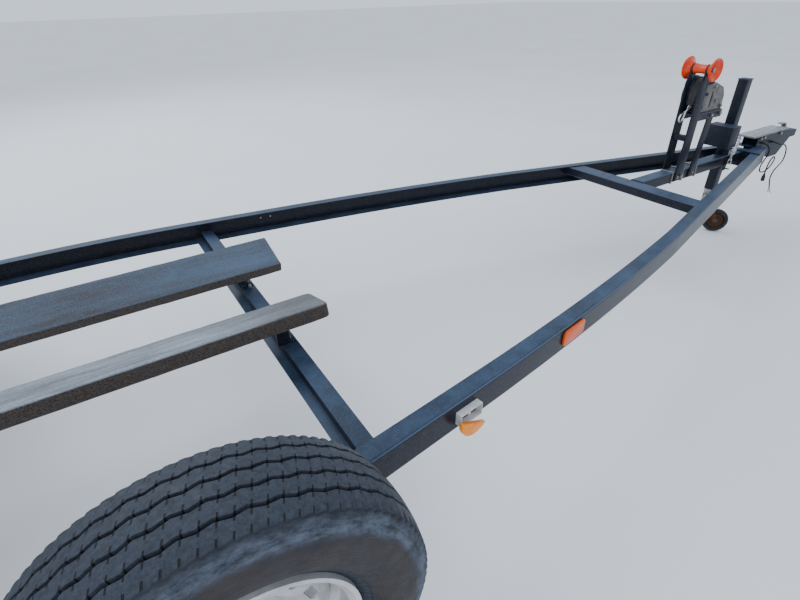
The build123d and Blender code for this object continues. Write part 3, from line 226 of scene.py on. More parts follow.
class Graph:
    """A material under construction: a Principled shader and the nodes that feed it."""

    def __init__(self, name, centre=(0, 0, 0), **values):
        self.material = bpy.data.materials.new(name)
        self.material.use_nodes = True
        self.tree = self.material.node_tree
        self.shader = self.tree.nodes["Principled BSDF"]
        self.place = self.node("TexCoord").outputs["Object"]
        if any(centre):
            away = tuple(-value for value in centre)
            self.place = self.node("Mapping", {"Vector": self.place, "Location": away}).outputs["Vector"]
        for key, value in values.items():
            self.set(key, value)

    def set(self, key, value):
        """Set or link one of the shader's inputs, named with underscores for spaces."""
        self.feed(self.shader.inputs[key.replace("_", " ")], value)

    def feed(self, socket, value):
        """Link a socket to another one, or give it a constant."""
        if isinstance(value, bpy.types.NodeSocket):
            self.tree.links.new(value, socket)
            return
        if isinstance(value, tuple) and len(value) == 3 and socket.type == "RGBA":
            value = (*value, 1)
        socket.default_value = value

    def node(self, kind, inputs=(), **settings):
        """A new node with its settings, and its inputs set or linked."""
        made = self.tree.nodes.new("ShaderNode" + kind)
        for key, value in settings.items():
            setattr(made, key, value)
        for key, value in dict(inputs).items():
            self.feed(made.inputs[key], value)
        return made

    def noise(self, scale, detail=4.0, rough=0.55, place=None):
        """Soft noise around a half; scale is in lumps per metre."""
        inputs = {"Vector": place or self.place, "Scale": scale, "Detail": detail, "Roughness": rough}
        return self.node("TexNoise", inputs).outputs["Fac"]

    def stretched(self, factors):
        """The coordinates scaled along each axis."""
        return self.node("Mapping", {"Vector": self.place, "Scale": factors}).outputs["Vector"]

    def parts(self):
        """The three values of the place."""
        split = self.node("SeparateXYZ", {"Vector": self.place})
        return split.outputs["X"], split.outputs["Y"], split.outputs["Z"]

    def steps(self, value, *stops):
        """A colour ramp: pairs of position and grey level or colour."""
        made = self.node("ValToRGB", {"Fac": value})
        ramp = made.color_ramp
        while len(ramp.elements) < len(stops):
            ramp.elements.new(0.5)
        for element, (position, shade) in zip(ramp.elements, stops):
            element.position = position
            element.color = (shade, shade, shade, 1) if isinstance(shade, (int, float)) else (*shade, 1)
        return made.outputs["Color"]

    def blend(self, share, first, second):
        """The first colour where share is zero, the second where it is one."""
        made = self.node("Mix", data_type="RGBA")
        for key, kind, value in (("Factor", "VALUE", share), ("A", "RGBA", first), ("B", "RGBA", second)):
            self.feed(next(s for s in made.inputs if s.name == key and s.type == kind), value)
        return next(s for s in made.outputs if s.type == "RGBA")

    def math(self, how, first, second=0.5, clamp=False):
        """One sum on one or two values."""
        return self.node("Math", {0: first, 1: second}, operation=how, use_clamp=clamp).outputs[0]

    def plus(self, first, second, clamp=False):
        """The sum of two values, kept between 0 and 1 if clamp is set."""
        return self.math("ADD", first, second, clamp)

    def times(self, first, *others):
        """The product of values."""
        for other in others:
            first = self.math("MULTIPLY", first, other)
        return first

    def bump(self, height, depth, strength=1.0, after=None):
        """A bump of that depth in metres, on top of another bump if one is given."""
        inputs = {"Height": height, "Distance": depth, "Strength": strength}
        if after is not None:
            inputs["Normal"] = after
        return self.node("Bump", inputs).outputs["Normal"]

    def facing_up(self):
        """One where the surface faces the sky, zero where it stands and less where it hangs."""
        normal = self.node("NewGeometry").outputs["Normal"]
        return self.node("SeparateXYZ", {"Vector": normal}).outputs["Z"]

    def roughen(self, rough, mask, more):
        """Roughness that grows by more where the mask is one."""
        self.set("Roughness", self.plus(self.times(mask, more), rough, clamp=True))


print("each finish starts from one Principled shader")

# %% [markdown]
# The frame's paint is a dark gloss with coloured flake, and the stand is plainer and more worn.
# Dust lies on faces that look at the sky, and there the sky's blue is painted in as a reflection; a light line along
# rounded corners is a painted highlight.
# The flake is a fine cell pattern of which only the brightest cells show.

# %% Paints
night = (0.006, 0.008, 0.015)
warm_flake = (0.06, 0.05, 0.05)
# The dust's blue is partly dust and partly the painted reflection of the sky on faces that look up.
dust_with_sky_reflection = (0.088, 0.152, 0.255)
# The corner line's colour is a painted highlight, the sky reflected in rounded corners.
painted_corner_highlight = (0.1, 0.15, 0.24)


def paint(name, base, flake, dust, rough=0.28):
    """Dark gloss paint with coloured flake, road dust carrying a painted sky reflection on top, a painted highlight
    along corners, and light scratches.
    """
    g = Graph(name, Metallic=0.0, Specular_IOR_Level=0.14, Coat_Weight=0.08, Coat_Roughness=0.12)
    cells = g.node("TexVoronoi", {"Vector": g.place, "Scale": 420.0}).outputs["Color"]
    sparkle = g.steps(g.node("SeparateColor", {"Color": cells}).outputs[0], (0.72, 0.0), (0.9, 0.5))
    lighter = tuple(1.6 * value for value in base)
    mottle = g.steps(g.noise(16, 6, 0.65), (0.35, base), (0.7, lighter))
    flaked = g.blend(sparkle, mottle, flake)
    # On faces that look up, the film is dust plus a painted reflection of the sky.
    sky_side = g.steps(g.facing_up(), (0.55, 0.0), (0.95, 1.0))
    patches = g.steps(g.noise(7, 8, 0.7), (0.4, 0.35), (0.75, 1.0))
    dust_and_sky_reflection_share = g.times(sky_side, patches, 0.6)
    speckled = g.steps(g.noise(9, 5), (0.45, 0.0), (0.7, 0.35))
    specks = g.times(g.steps(g.noise(150, 3), (0.6, 0.0), (0.72, 1.0)), speckled)
    dirt_and_sky_reflection = g.plus(dust_and_sky_reflection_share, specks, clamp=True)
    # A thin light line where the surface turns is a painted highlight: the sky's reflection along rounded corners
    turning = g.math("ABSOLUTE", g.facing_up())
    corner = g.steps(turning, (0.3, 0.0), (0.42, 0.6), (0.72, 0.6), (0.82, 0.0))
    g.set("Base_Color", g.blend(corner, g.blend(dirt_and_sky_reflection, flaked, dust), painted_corner_highlight))
    scratch = g.steps(g.noise(30, 3, 0.5, g.stretched((0.3, 1.0, 6.0))), (0.62, 0.0), (0.68, 1.0))
    g.roughen(g.plus(g.times(scratch, 0.12), rough), dirt_and_sky_reflection, 0.55)
    g.set("Normal", g.bump(g.noise(260, 2), 0.0002, 0.25))
    return g.material


# Each paint's third colour is its dust, blued by a painted reflection of the sky.
finishes = {
    "frame_paint": paint("frame_paint", night, warm_flake, dust_with_sky_reflection),
    "fender_paint": paint("fender_paint", night, warm_flake, (0.07, 0.1, 0.15)),
    "stand_paint": paint("stand_paint", (0.008, 0.010, 0.017), (0.04, 0.045, 0.055), (0.06, 0.08, 0.12), 0.42),
}
print("paints", list(finishes))

# %% [markdown]
# Bare metal is zinc that has dulled, with rust where water stands; the hubs' castings are rustier.
# Two noises do it: a coarse one shades the zinc, and a finer one decides where the rust has broken through.

# %% Metals


def weathered_metal(name, bright, dull, rust_share, rough=0.42):
    """Dull plated metal with brown rust in patches."""
    g = Graph(name, Metallic=0.75)
    grey = g.steps(g.noise(35, 6, 0.6), (0.3, dull), (0.7, bright))
    rusty = g.steps(g.noise(55, 9, 0.75), (1 - rust_share - 0.12, 0.0), (1 - rust_share + 0.04, 1.0))
    rust_color = g.steps(g.noise(180, 5), (0.3, (0.07, 0.025, 0.01)), (0.7, (0.2, 0.085, 0.035)))
    g.set("Base_Color", g.blend(rusty, grey, rust_color))
    g.roughen(rough, rusty, 0.45)
    g.set("Normal", g.bump(g.noise(320, 4), 0.0004, 0.4))
    return g.material


for name, *look_of_it in (
    # finish, bright shade, dull shade, share of rust, roughness if not the usual one
    ("bare_steel", (0.42, 0.42, 0.42), (0.17, 0.17, 0.175), 0.38),
    ("hook_zinc", (0.68, 0.69, 0.7), (0.4, 0.41, 0.42), 0.25, 0.32),
    ("winch_zinc", (0.215, 0.195, 0.18), (0.085, 0.08, 0.078), 0.34),
    ("hub_iron", (0.12, 0.105, 0.09), (0.05, 0.045, 0.04), 0.5, 0.6),
    ("rust", (0.1, 0.05, 0.03), (0.05, 0.03, 0.02), 0.62, 0.5),
):
    finishes[name] = weathered_metal(name, *look_of_it)
    print("metal", name)

# %% [markdown]
# The step plate is kept bright by boots, and the wheels are enamelled off-white.
# Both could be painted by hand on an image. Height above the plate and noise give the same wear, and the painted shade
# between the ribs, without one.

# %% Step plate and wheel enamel


def ribbed_step(name):
    """Dull bright plate: boots keep the ribs clean, and between them grime and painted shade darken it."""
    g = Graph(name, Metallic=0.6)
    rib_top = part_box("step_plate")[1][2]
    rib_height = 0.002
    lifted = g.times(g.math("SUBTRACT", g.parts()[2], rib_top - rib_height), 1 / rib_height)
    clean = g.steps(g.noise(35, 6, 0.6), (0.3, (0.52, 0.56, 0.6)), (0.7, (0.78, 0.82, 0.86)))
    grime_and_shade = g.steps(g.noise(60, 6), (0.3, (0.1, 0.105, 0.115)), (0.7, (0.24, 0.25, 0.265)))
    # Between the ribs the plate is darker: grime plus painted shade in the gaps.
    g.set("Base_Color", g.blend(g.steps(lifted, (0.3, 0.0), (0.7, 1.0)), grime_and_shade, clean))
    g.set("Roughness", g.steps(g.noise(25, 4), (0.3, 0.35), (0.7, 0.55)))
    g.set("Normal", g.bump(g.noise(300, 4), 0.0003, 0.4))
    return g.material


def wheel_enamel(name):
    """Off-white enamel with brown dust in patches and small chips."""
    g = Graph(name, Metallic=0.2, Coat_Weight=0.3, Coat_Roughness=0.3)
    white = g.steps(g.noise(20, 6, 0.6), (0.3, (0.44, 0.44, 0.43)), (0.7, (0.62, 0.63, 0.63)))
    grime = g.steps(g.noise(12, 8, 0.7), (0.5, 0.0), (0.78, 0.6))
    chips = g.steps(g.noise(120, 4, 0.7), (0.68, 0.0), (0.72, 0.8))
    dirty = g.blend(grime, white, (0.16, 0.13, 0.1))
    g.set("Base_Color", g.blend(chips, dirty, (0.1, 0.06, 0.04)))
    g.roughen(0.35, grime, 0.4)
    g.set("Normal", g.bump(g.noise(200, 3), 0.0003, 0.3))
    return g.material


finishes["step_metal"] = ribbed_step("step_metal")
finishes["rim_paint"] = wheel_enamel("rim_paint")
print("finishes so far", len(finishes))

# %% [markdown]
# A tyre's finish is worked out around its own axis, so ribs, fine cuts and rings follow the rubber.
# The angle and radius come from the place, moved to the wheel's centre by a Mapping node.
# A ramp takes values between 0 and 1, so distances in metres are scaled up to that span first.

# %% Tyre rubber
cuts_around = 96
ribs_per_metre = 29.4


def tyre_rubber(name, centre):
    """Weathered rubber around an axis along y: dusty tread, bluish shoulder and brown, ringed sidewall."""
    g = Graph(name, centre, Metallic=0.0, Specular_IOR_Level=0.3)
    x, y, z = g.parts()
    radius = g.math("SQRT", g.plus(g.times(x, x), g.times(z, z)))
    angle = g.math("ARCTAN2", z, x)
    off = g.math("ABSOLUTE", y)
    off_scaled = g.times(off, 10.0)
    radius_scaled = g.times(radius, 2.5)
    tread = g.steps(off_scaled, (0.83, 1.0), (0.86, 0.0))
    sidewall = g.math("SUBTRACT", 1.0, g.steps(off_scaled, (0.86, 1.0), (0.9, 0.0)))
    low_wall = g.times(sidewall, g.steps(radius_scaled, (0.76, 1.0), (0.8, 0.0)))
    # Short cuts that run from the grooves into the ribs, slanted a little
    cut_wave = g.math("FRACT", g.plus(g.times(angle, cuts_around / math.tau), g.times(y, 14.0)))
    rib_wave = g.math("FRACT", g.times(off, ribs_per_metre))
    near_groove = g.steps(rib_wave, (0.17, 0.0), (0.21, 1.0), (0.79, 1.0), (0.83, 0.0))
    shaded_cuts = g.times(g.steps(cut_wave, (0.1, 1.0), (0.14, 0.0)), near_groove, tread)
    # Scuffs are drawn out along the turn of the wheel and lie on the shoulder
    along_turn = {0: g.times(angle, 3.6), 1: g.times(y, 26.0), 2: g.times(radius, 26.0)}
    scuff_place = g.node("CombineXYZ", along_turn).outputs[0]
    scuff_band = g.steps(radius_scaled, (0.765, 0.05), (0.795, 1.0), (0.835, 1.0), (0.87, 0.2))
    scuff = g.times(g.steps(g.noise(2.2, 9, 0.75, scuff_place), (0.4, 0.05), (0.85, 0.75)), scuff_band)
    worn = g.steps(g.noise(9, 8, 0.65), (0.3, (0.008, 0.010, 0.016)), (0.7, (0.019, 0.024, 0.034)))
    dusty = g.blend(g.times(scuff, sidewall), worn, (0.21, 0.255, 0.335))
    aged = g.steps(g.noise(14, 6), (0.35, 0.35), (0.7, 0.85))
    brown = g.blend(g.times(low_wall, aged), dusty, (0.052, 0.042, 0.038))
    grit = g.steps(g.noise(130, 8, 0.75), (0.35, 0.05), (0.75, 0.5))
    treaded = g.blend(g.times(grit, tread), brown, (0.085, 0.105, 0.14))
    # Inside the cuts the rubber is painted near black: painted shade in the slits, which the bump alone does not give.
    g.set("Base_Color", g.blend(shaded_cuts, treaded, (0.006, 0.006, 0.007)))
    g.roughen(g.steps(g.noise(40, 5), (0.3, 0.55), (0.7, 0.75)), scuff, 0.2)
    grain = g.bump(g.noise(420, 4), 0.0004, 0.5)
    rings = g.math("SINE", g.times(radius, 1500.0))
    ringed = g.bump(g.times(rings, low_wall), 0.0005, 0.8, grain)
    g.set("Normal", g.bump(g.math("SUBTRACT", 1.0, shaded_cuts), 0.0025, 0.9, ringed))
    return g.material


wheels = {
    "left": ("road_wheel_left", joint_place["road_wheel_left_spin"]),
    "right": ("road_wheel_right", joint_place["road_wheel_right_spin"]),
}
spare_low, spare_high = vectors(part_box("tyre_spare"))
wheels["spare"] = ("trailer", (spare_low + spare_high) / 2)
for side, (body, centre) in wheels.items():
    finishes[f"tyre_rubber_{side}"] = tyre_rubber(f"tyre_rubber_{side}", centre)
print("spare wheel's centre", [round(value, 3) for value in wheels["spare"][1]])

# %% [markdown]
# Carpet is matted loop pile, dark brown; on top it is pale grey, lightened by sun bleaching and by painted sky light.
# Particles would give real fibres, but at this distance two scales of noise in colour and bump read the same.
# The planks inside the carpet show their grain only at the ends.

# %% Carpet and wood
bunk_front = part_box("bunk_right")[1][0]


def carpet(name, low, high, shaded_from):
    """Matted carpet; low and high are the shades of its top, lightened by sun bleaching and painted sky light, which
    fade out ahead of shaded_from along x.
    """
    g = Graph(name, Metallic=0.0, Roughness=0.95, Specular_IOR_Level=0.2, Sheen_Weight=0.08, Sheen_Roughness=0.6)
    loops = g.noise(300, 5, 0.75, g.stretched((0.7, 1.0, 1.0)))
    dark = g.steps(loops, (0.35, (0.012, 0.009, 0.008)), (0.68, (0.105, 0.085, 0.075)))
    bleached_and_sky_lit = g.steps(loops, (0.25, low), (0.75, high))
    # On top the carpet is lighter in streaks: sun bleaching plus painted sky light, fading towards the front.
    sky_side = g.steps(g.facing_up(), (0.5, 0.0), (0.95, 1.0))
    streaks = g.steps(g.noise(7, 8, 0.72, g.stretched((0.2, 1.6, 1.6))), (0.34, 0.25), (0.62, 1.0))
    ahead = g.math("SUBTRACT", g.parts()[0], shaded_from)
    faded = g.steps(g.plus(ahead, g.times(g.noise(9, 5), 0.2)), (0.08, 1.0), (0.38, 0.35))
    worn = g.blend(g.times(sky_side, streaks, faded), dark, bleached_and_sky_lit)
    stains = g.steps(g.noise(4.5, 8, 0.7), (0.55, 0.0), (0.75, 0.5))
    g.set("Base_Color", g.blend(stains, worn, (0.055, 0.055, 0.065)))
    matted = g.bump(g.noise(60, 6, 0.7), 0.0015, 0.6)
    g.set("Normal", g.bump(loops, 0.0016, 0.9, matted))
    return g.material


def board_wood(name):
    """End grain and edge of an old plank."""
    g = Graph(name, Metallic=0.0, Roughness=0.85)
    grain = g.noise(35, 6, 0.6, g.stretched((0.15, 2.0, 5.0)))
    g.set("Base_Color", g.steps(grain, (0.3, (0.045, 0.028, 0.018)), (0.7, (0.17, 0.115, 0.075))))
    g.set("Normal", g.bump(grain, 0.001, 0.7))
    return g.material


# The right bunk's top is lit by painted sky light; the left bunk takes a darker copy of the same carpet, painted in
# shade, with its own wear.
finishes["bunk_carpet"] = carpet("bunk_carpet", (0.17, 0.20, 0.225), (0.52, 0.59, 0.66), bunk_front - 0.4)
finishes["shaded_carpet"] = carpet("shaded_carpet", (0.034, 0.052, 0.078), (0.125, 0.175, 0.25), bunk_front)
finishes["board_wood"] = board_wood("board_wood")
print("front ends of the bunks at x", round(bunk_front, 3))

# %% [markdown]
# Webbing is woven: two sines multiplied give the over and under of its yarns.
# Lenses, the roller and the leads are moulded, with a skin so even that only fading and dust tell its age.

# %% Webbing and mouldings


def webbing(name):
    """Woven strap: ribs across its width and fine yarns along it."""
    g = Graph(name, Metallic=0.0, Roughness=0.8, Sheen_Weight=0.2, Sheen_Roughness=0.5)
    across, along = g.parts()[1:]
    ribs = g.math("SINE", g.times(across, 2600.0))
    picks = g.math("SINE", g.times(along, 3000.0))
    weave = g.times(ribs, picks)
    faded = g.steps(g.noise(30, 6), (0.3, (0.010, 0.010, 0.012)), (0.75, (0.035, 0.033, 0.032)))
    g.set("Base_Color", g.blend(g.steps(weave, (0.3, 0.0), (0.9, 0.35)), faded, (0.055, 0.05, 0.047)))
    g.set("Normal", g.bump(weave, 0.0005, 0.8))
    return g.material


def moulded(name, color, shade, rough, glow=0.0, **values):
    """Moulded rubber or plastic with a fine skin, faded in patches and dusted on top."""
    g = Graph(name, Metallic=0.0, Specular_IOR_Level=0.22, Subsurface_Weight=glow, Subsurface_Scale=0.02, **values)
    body = g.steps(g.noise(28, 6, 0.6), (0.3, shade), (0.7, color))
    sky_side = g.steps(g.facing_up(), (0.5, 0.0), (1.0, 1.0))
    dust = g.times(sky_side, g.steps(g.noise(40, 7, 0.7), (0.45, 0.0), (0.8, 0.2)))
    g.set("Base_Color", g.blend(dust, body, (0.3, 0.28, 0.26)))
    g.roughen(rough, dust, 0.5)
    g.set("Normal", g.bump(g.noise(350, 3), 0.0002, 0.3))
    return g.material


finishes["strap_web"] = webbing("strap_web")
for name, color, shade, rough, glow, coat in (
    # finish, colour, its darker shade, roughness, light let through, gloss coat
    ("roller_plastic", (0.80, 0.09, 0.012), (0.55, 0.028, 0.012), 0.3, 0.12, 0.15),
    ("caster_rubber", (0.03, 0.03, 0.032), (0.014, 0.014, 0.015), 0.6, 0.0, 0.0),
    ("lamp_shell", (0.72, 0.73, 0.74), (0.5, 0.5, 0.5), 0.35, 0.0, 0.0),
    ("amber_lens", (1.0, 0.34, 0.008), (0.85, 0.19, 0.006), 0.25, 0.15, 0.1),
    ("reflector_plastic", (0.78, 0.12, 0.014), (0.62, 0.075, 0.01), 0.3, 0.1, 0.0),
    ("red_lens", (0.5, 0.015, 0.012), (0.3, 0.01, 0.01), 0.2, 0.2, 0.5),
    ("cable_sheath", (0.008, 0.008, 0.009), (0.004, 0.004, 0.004), 0.55, 0.0, 0.0),
    ("plug_plastic", (0.03, 0.03, 0.03), (0.015, 0.015, 0.015), 0.55, 0.0, 0.0),
    ("bare_strand", (0.42, 0.28, 0.16), (0.28, 0.17, 0.09), 0.5, 0.0, 0.0),
    ("old_glass", (0.75, 0.7, 0.6), (0.5, 0.42, 0.3), 0.15, 0.0, 0.5),
):
    finishes[name] = moulded(name, color, shade, rough, glow, Coat_Weight=coat)
    print("moulding", name)

# %% [markdown]
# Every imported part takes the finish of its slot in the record; a few take a more worn one than their neighbours.

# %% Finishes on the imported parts
special_finish = {
    "winch_frame": "winch_zinc",
    "winch_drum": "stand_paint",
    "safety_chain": "hook_zinc",
    "caster_fork": "hub_iron",
    "tyre_left": "tyre_rubber_left",
    "tyre_right": "tyre_rubber_right",
    "tyre_spare": "tyre_rubber_spare",
}
for name, node in nodes.items():
    node.data.materials.clear()
    node.data.materials.append(finishes[special_finish.get(name, node_slot[name])])
floor_graph = Graph("floor_grey", Roughness=0.9)
floor_graph.set("Base_Color", floor_graph.steps(floor_graph.noise(0.6, 5), (0.3, 0.80), (0.7, 0.85)))
floor.data.materials.append(floor_graph.material)
for lead in (plug_lead, lamp_lead):
    lead.data.materials.append(finishes["cable_sheath"])
print("finishes", len(finishes))

# %% [markdown]
# Fine pieces are modelled as by hand: add a primitive, shape it in edit mode, finish it with modifiers.
# These few tools keep the selection clean, since an operator acts on everything that is selected.

# %% Selecting and editing


def pick_nothing():
    """Leaves edit mode and clears the selection."""
    if bpy.context.object and bpy.context.object.mode != "OBJECT":
        bpy.ops.object.mode_set(mode="OBJECT")
    bpy.ops.object.select_all(action="DESELECT")


def hold(*pieces):
    """Selects these pieces alone; the first is active."""
    pick_nothing()
    for piece in pieces:
        piece.select_set(True)
    bpy.context.view_layer.objects.active = pieces[0]


def start(kind, name, place=(0, 0, 0), turn=(0, 0, 0), size=(1, 1, 1), **options):
    """Adds a primitive and bakes its place, turn and size into its mesh."""
    pick_nothing()
    getattr(bpy.ops.mesh, f"primitive_{kind}_add")(location=place, rotation=turn, **options)
    piece = bpy.context.object
    piece.name = piece.data.name = name
    piece.scale = size
    bpy.ops.object.transform_apply(location=True, rotation=True, scale=True)
    return piece


def edit(piece, mode="FACE", test=None):
    """Opens a piece in edit mode and selects all, or what passes the test.

    A face is tested by its middle and normal, an edge by its middle and its run from end to end.
    """
    hold(piece)
    bpy.ops.object.mode_set(mode="EDIT")
    bpy.ops.mesh.select_mode(type=mode)
    bpy.ops.mesh.select_all(action="SELECT" if test is None else "DESELECT")
    if test is None:
        return
    mesh = bmesh.from_edit_mesh(piece.data)
    mesh.normal_update()
    if mode == "FACE":
        for face in mesh.faces:
            face.select_set(bool(test(face.calc_center_median(), face.normal)))
    elif mode == "EDGE":
        for edge in mesh.edges:
            first, last = (vertex.co for vertex in edge.verts)
            edge.select_set(bool(test((first + last) / 2, last - first)))
    bmesh.update_edit_mesh(piece.data)


def close():
    """Back to object mode, which writes the edits to the mesh."""
    bpy.ops.object.mode_set(mode="OBJECT")


def top(middle, normal):
    """The test for faces that look up."""
    return normal.z > 0.9


def pull(rise):
    """Extrudes the selected faces by that rise along z."""
    bpy.ops.mesh.extrude_region_move(TRANSFORM_OT_translate={"value": (0, 0, rise)})


print("tools to start, edit and close a piece")

# %% [markdown]
# A piece of several is joined at the end, and a pattern that repeats is modelled once and copied to frames.
# A frame is a matrix: it says where a copy stands, which way it points and how large it is.

# %% Modifying, joining and finishing


def modify(piece, kind, **settings):
    """Adds a modifier, sets it and applies it."""
    hold(piece)
    modifier = piece.modifiers.new(kind.lower(), kind)
    for key, value in settings.items():
        setattr(modifier, key, value)
    bpy.ops.object.modifier_apply(modifier=modifier.name)


def join(name, pieces):
    """One piece of several."""
    hold(*pieces)
    bpy.ops.object.join()
    joined = bpy.context.object
    joined.name = joined.data.name = name
    return joined


def standing(place, axis, spin=0.0, scale=1.0):
    """Frame at place whose local z points along axis."""
    turn = Vector(axis).to_track_quat("Z", "Y").to_matrix().to_4x4()
    return Matrix.Translation(Vector(place)) @ turn @ Matrix.Rotation(spin, 4, "Z") @ Matrix.Scale(scale, 4)


def repeat(pattern, name, frames):
    """Copies of a pattern at each frame, each with its own mesh, joined; the pattern goes."""
    made = []
    for matrix in frames:
        twin = bpy.data.objects.new(name, pattern.data.copy())
        twin.data.transform(matrix)
        bpy.context.scene.collection.objects.link(twin)
        made.append(twin)
    pick_nothing()
    bpy.data.objects.remove(pattern)
    return join(name, made)


def finish(piece, finish_name, body, *stands_for, slot=None, angle=35):
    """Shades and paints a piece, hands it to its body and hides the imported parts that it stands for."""
    hold(piece)
    bpy.ops.object.shade_smooth_by_angle(angle=math.radians(angle))
    piece.data.materials.clear()
    piece.data.materials.append(finishes[finish_name])
    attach(piece, body)
    if stands_for:
        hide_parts(*stands_for)
    print(piece.name, len(piece.data.polygons), "faces")
    return piece


print("tools to modify, join, repeat and finish a piece")

# %% [markdown]
# A radial road tyre has five ribs between zigzag grooves, a round shoulder and a bulging sidewall.
# It could be sculpted, but a tyre is a ring: one circle at the bead is extruded and scaled, ring after ring,
# over the sidewall and across the tread, and the vertices beside each groove are then pushed into a zigzag.

# %% Tyre's section
tyre_radius = 0.359
tread_half = 0.084
crown_drop = 0.011
half_grooves = (0.051, 0.017)
groove_half = 0.0036
groove_slant = 0.0014
groove_depth = 0.0085
rib_reach = 0.0165


def tread_radius(across):
    """The crowned tread's radius at a distance from the middle plane."""
    return tyre_radius - crown_drop * (across / tread_half) ** 2


def tyre_profile():
    """Half of a tyre's section from bead to crown, as pairs of distance from the middle plane and radius."""
    bead = [(0.0717, 0.1908), (0.0722, 0.2066)]
    bulge = [(0.0835, 0.221), (0.0955, 0.238), (0.1035, 0.256), (0.1085, 0.2765), (0.1078, 0.297), (0.1035, 0.316)]
    shoulder = [(0.0985, 0.3285), (0.0965, 0.3295), (0.0925, 0.3405), (0.0885, 0.3462)]
    tread = [(tread_half, tread_radius(tread_half))]
    floor_half = groove_half - groove_slant
    groove = ((groove_half, 0), (floor_half, groove_depth), (-floor_half, groove_depth), (-groove_half, 0))
    for middle in half_grooves:
        tread.append((middle + rib_reach, tread_radius(middle + rib_reach)))
        for offset, drop in groove:
            tread.append((middle + offset, tread_radius(middle + offset) - drop))
    return bead + bulge + shoulder + tread


half_profile = tyre_profile()
whole_profile = half_profile + [(-across, radius) for across, radius in reversed(half_profile)]
print("rings in a tyre", len(whole_profile))

# %% Tyres
ring_steps = 288
groove_places = half_grooves + tuple(-place for place in half_grooves)
zigzag = 0.0024
zigzag_waves = (-1, -0.33, 0.33, 1, 0.33, -0.33)
notch_depth = 0.0045


def make_tyre(name, centre, body, node, finish_name):
    """A tyre around an axis along y."""
    across, radius = whole_profile[0]
    bead_place = (centre.x, centre.y + across, centre.z)
    tyre = start("circle", name, bead_place, (math.pi / 2, 0, 0), vertices=ring_steps, radius=radius)
    edit(tyre, "EDGE")
    for next_across, next_radius in whole_profile[1:]:
        bpy.ops.mesh.extrude_edges_move(TRANSFORM_OT_translate={"value": (0, next_across - across, 0)})
        share = next_radius / radius
        bpy.ops.transform.resize(value=(share, 1, share), center_override=(centre.x, centre.y + next_across, centre.z))
        across, radius = next_across, next_radius
    bpy.ops.mesh.select_all(action="SELECT")
    mesh = bmesh.from_edit_mesh(tyre.data)
    for vertex in mesh.verts:
        place = vertex.co - centre
        reach = math.hypot(place.x, place.z)
        step = round((math.atan2(place.z, place.x) / math.tau) * ring_steps) % len(zigzag_waves)
        for middle in groove_places:
            if abs(place.y - middle) < groove_half + 0.001 and reach > 0.33:
                vertex.co.y += zigzag_waves[step] * zigzag
        # Blocks of the shoulder rib: every third row is notched
        if 0.0835 < abs(place.y) < 0.09 and reach > 0.34 and step % 3 == 0:
            vertex.co.x -= place.x / reach * notch_depth
            vertex.co.z -= place.z / reach * notch_depth
    bmesh.update_edit_mesh(tyre.data)
    bpy.ops.mesh.normals_make_consistent(inside=False)
    close()
    return finish(tyre, finish_name, body, node, slot="tyre_rubber", angle=32)


for side, (body, centre) in wheels.items():
    make_tyre(f"treaded_tyre_{side}", centre, body, f"tyre_{side}", f"tyre_rubber_{side}")

# %% [markdown]
# Each rim carries a valve and lug nuts. A nut or a bolt head is a washer under a hexagon with rounded edges;
# one is modelled for each use and copied, since a modelled edge catches light that a bump would miss.

# %% Nuts and bolt heads
washer_height = 0.002


def washer_and_hexagon(name, width, height):
    """A washer and, on it, a hexagon of that width across its flats."""
    washer = start(
        "cylinder", "washer", (0, 0, washer_height / 2), vertices=24, radius=width * 0.62, depth=washer_height
    )
    middle = (0, 0, washer_height + height / 2)
    return washer, start("cylinder", name, middle, vertices=6, radius=width * 0.577, depth=height)


def make_nut(name, width=0.019, height=0.011, stud=0.0065, stud_out=0.006):
    """A washer, a bevelled hexagon and a threaded stud end that stand on z = 0."""
    washer, nut = washer_and_hexagon("nut", width, height)
    modify(nut, "BEVEL", width=0.0012, segments=2)
    thread_middle = (0, 0, height + stud_out / 2)
    thread = start("cylinder", "thread", thread_middle, vertices=14, radius=stud, depth=stud_out + 0.004)
    edit(thread, "FACE", top)
    bpy.ops.mesh.inset(thickness=stud * 0.18, depth=stud * 0.2)
    return join(name, [nut, washer, thread])


def make_bolt_head(name, width=0.017, height=0.008):
    """A washer and a slightly domed hexagon that stand on z = 0."""
    washer, head = washer_and_hexagon("head", width, height)
    edit(head, "FACE", top)
    bpy.ops.mesh.inset(thickness=width * 0.09, depth=width * 0.06)
    modify(head, "BEVEL", width=0.0008, segments=2)
    return join(name, [head, washer])


print("width across flats: lug nut 19 mm, bolt head 17 mm")

# %% Lug nuts and valves
stud_circle = 0.05715
valve_circle = 0.168


def on_wheel(centre, reach, out, degrees):
    """A place on a wheel: that reach from its axis, and out from its middle plane along y."""
    turn = math.radians(degrees)
    return centre + Vector((reach * math.cos(turn), out, reach * math.sin(turn)))


for side, (body, centre) in wheels.items():
    outward = 1 if side == "left" else -1
    frames = [
        standing(on_wheel(centre, stud_circle, outward * 0.0062, 90 + 72 * index), (0, outward, 0), 0.3 * index)
        for index in range(5)
    ]
    nuts = repeat(make_nut("lug_nut"), f"lug_nuts_{side}", frames)
    finish(nuts, "hook_zinc", body, slot="bare_steel")
    valve = start("cone", f"valve_{side}", vertices=16, radius1=0.0065, radius2=0.0035, depth=0.03)
    edit(valve, "FACE", top)
    bpy.ops.mesh.inset(thickness=-0.0008)
    pull(0.008)
    close()
    valve.data.transform(standing(on_wheel(centre, valve_circle, outward * 0.03, 60), (0.2, outward, 0.1)))
    finish(valve, "plug_plastic", body)

# %% [markdown]
# The bunks are planks wrapped in carpet, stapled underneath. The wrap is a soft sleeve with rounded edges,
# so a box is cut into short lengths, rounded, and pressed a little uneven; the plank's end shows inside it.

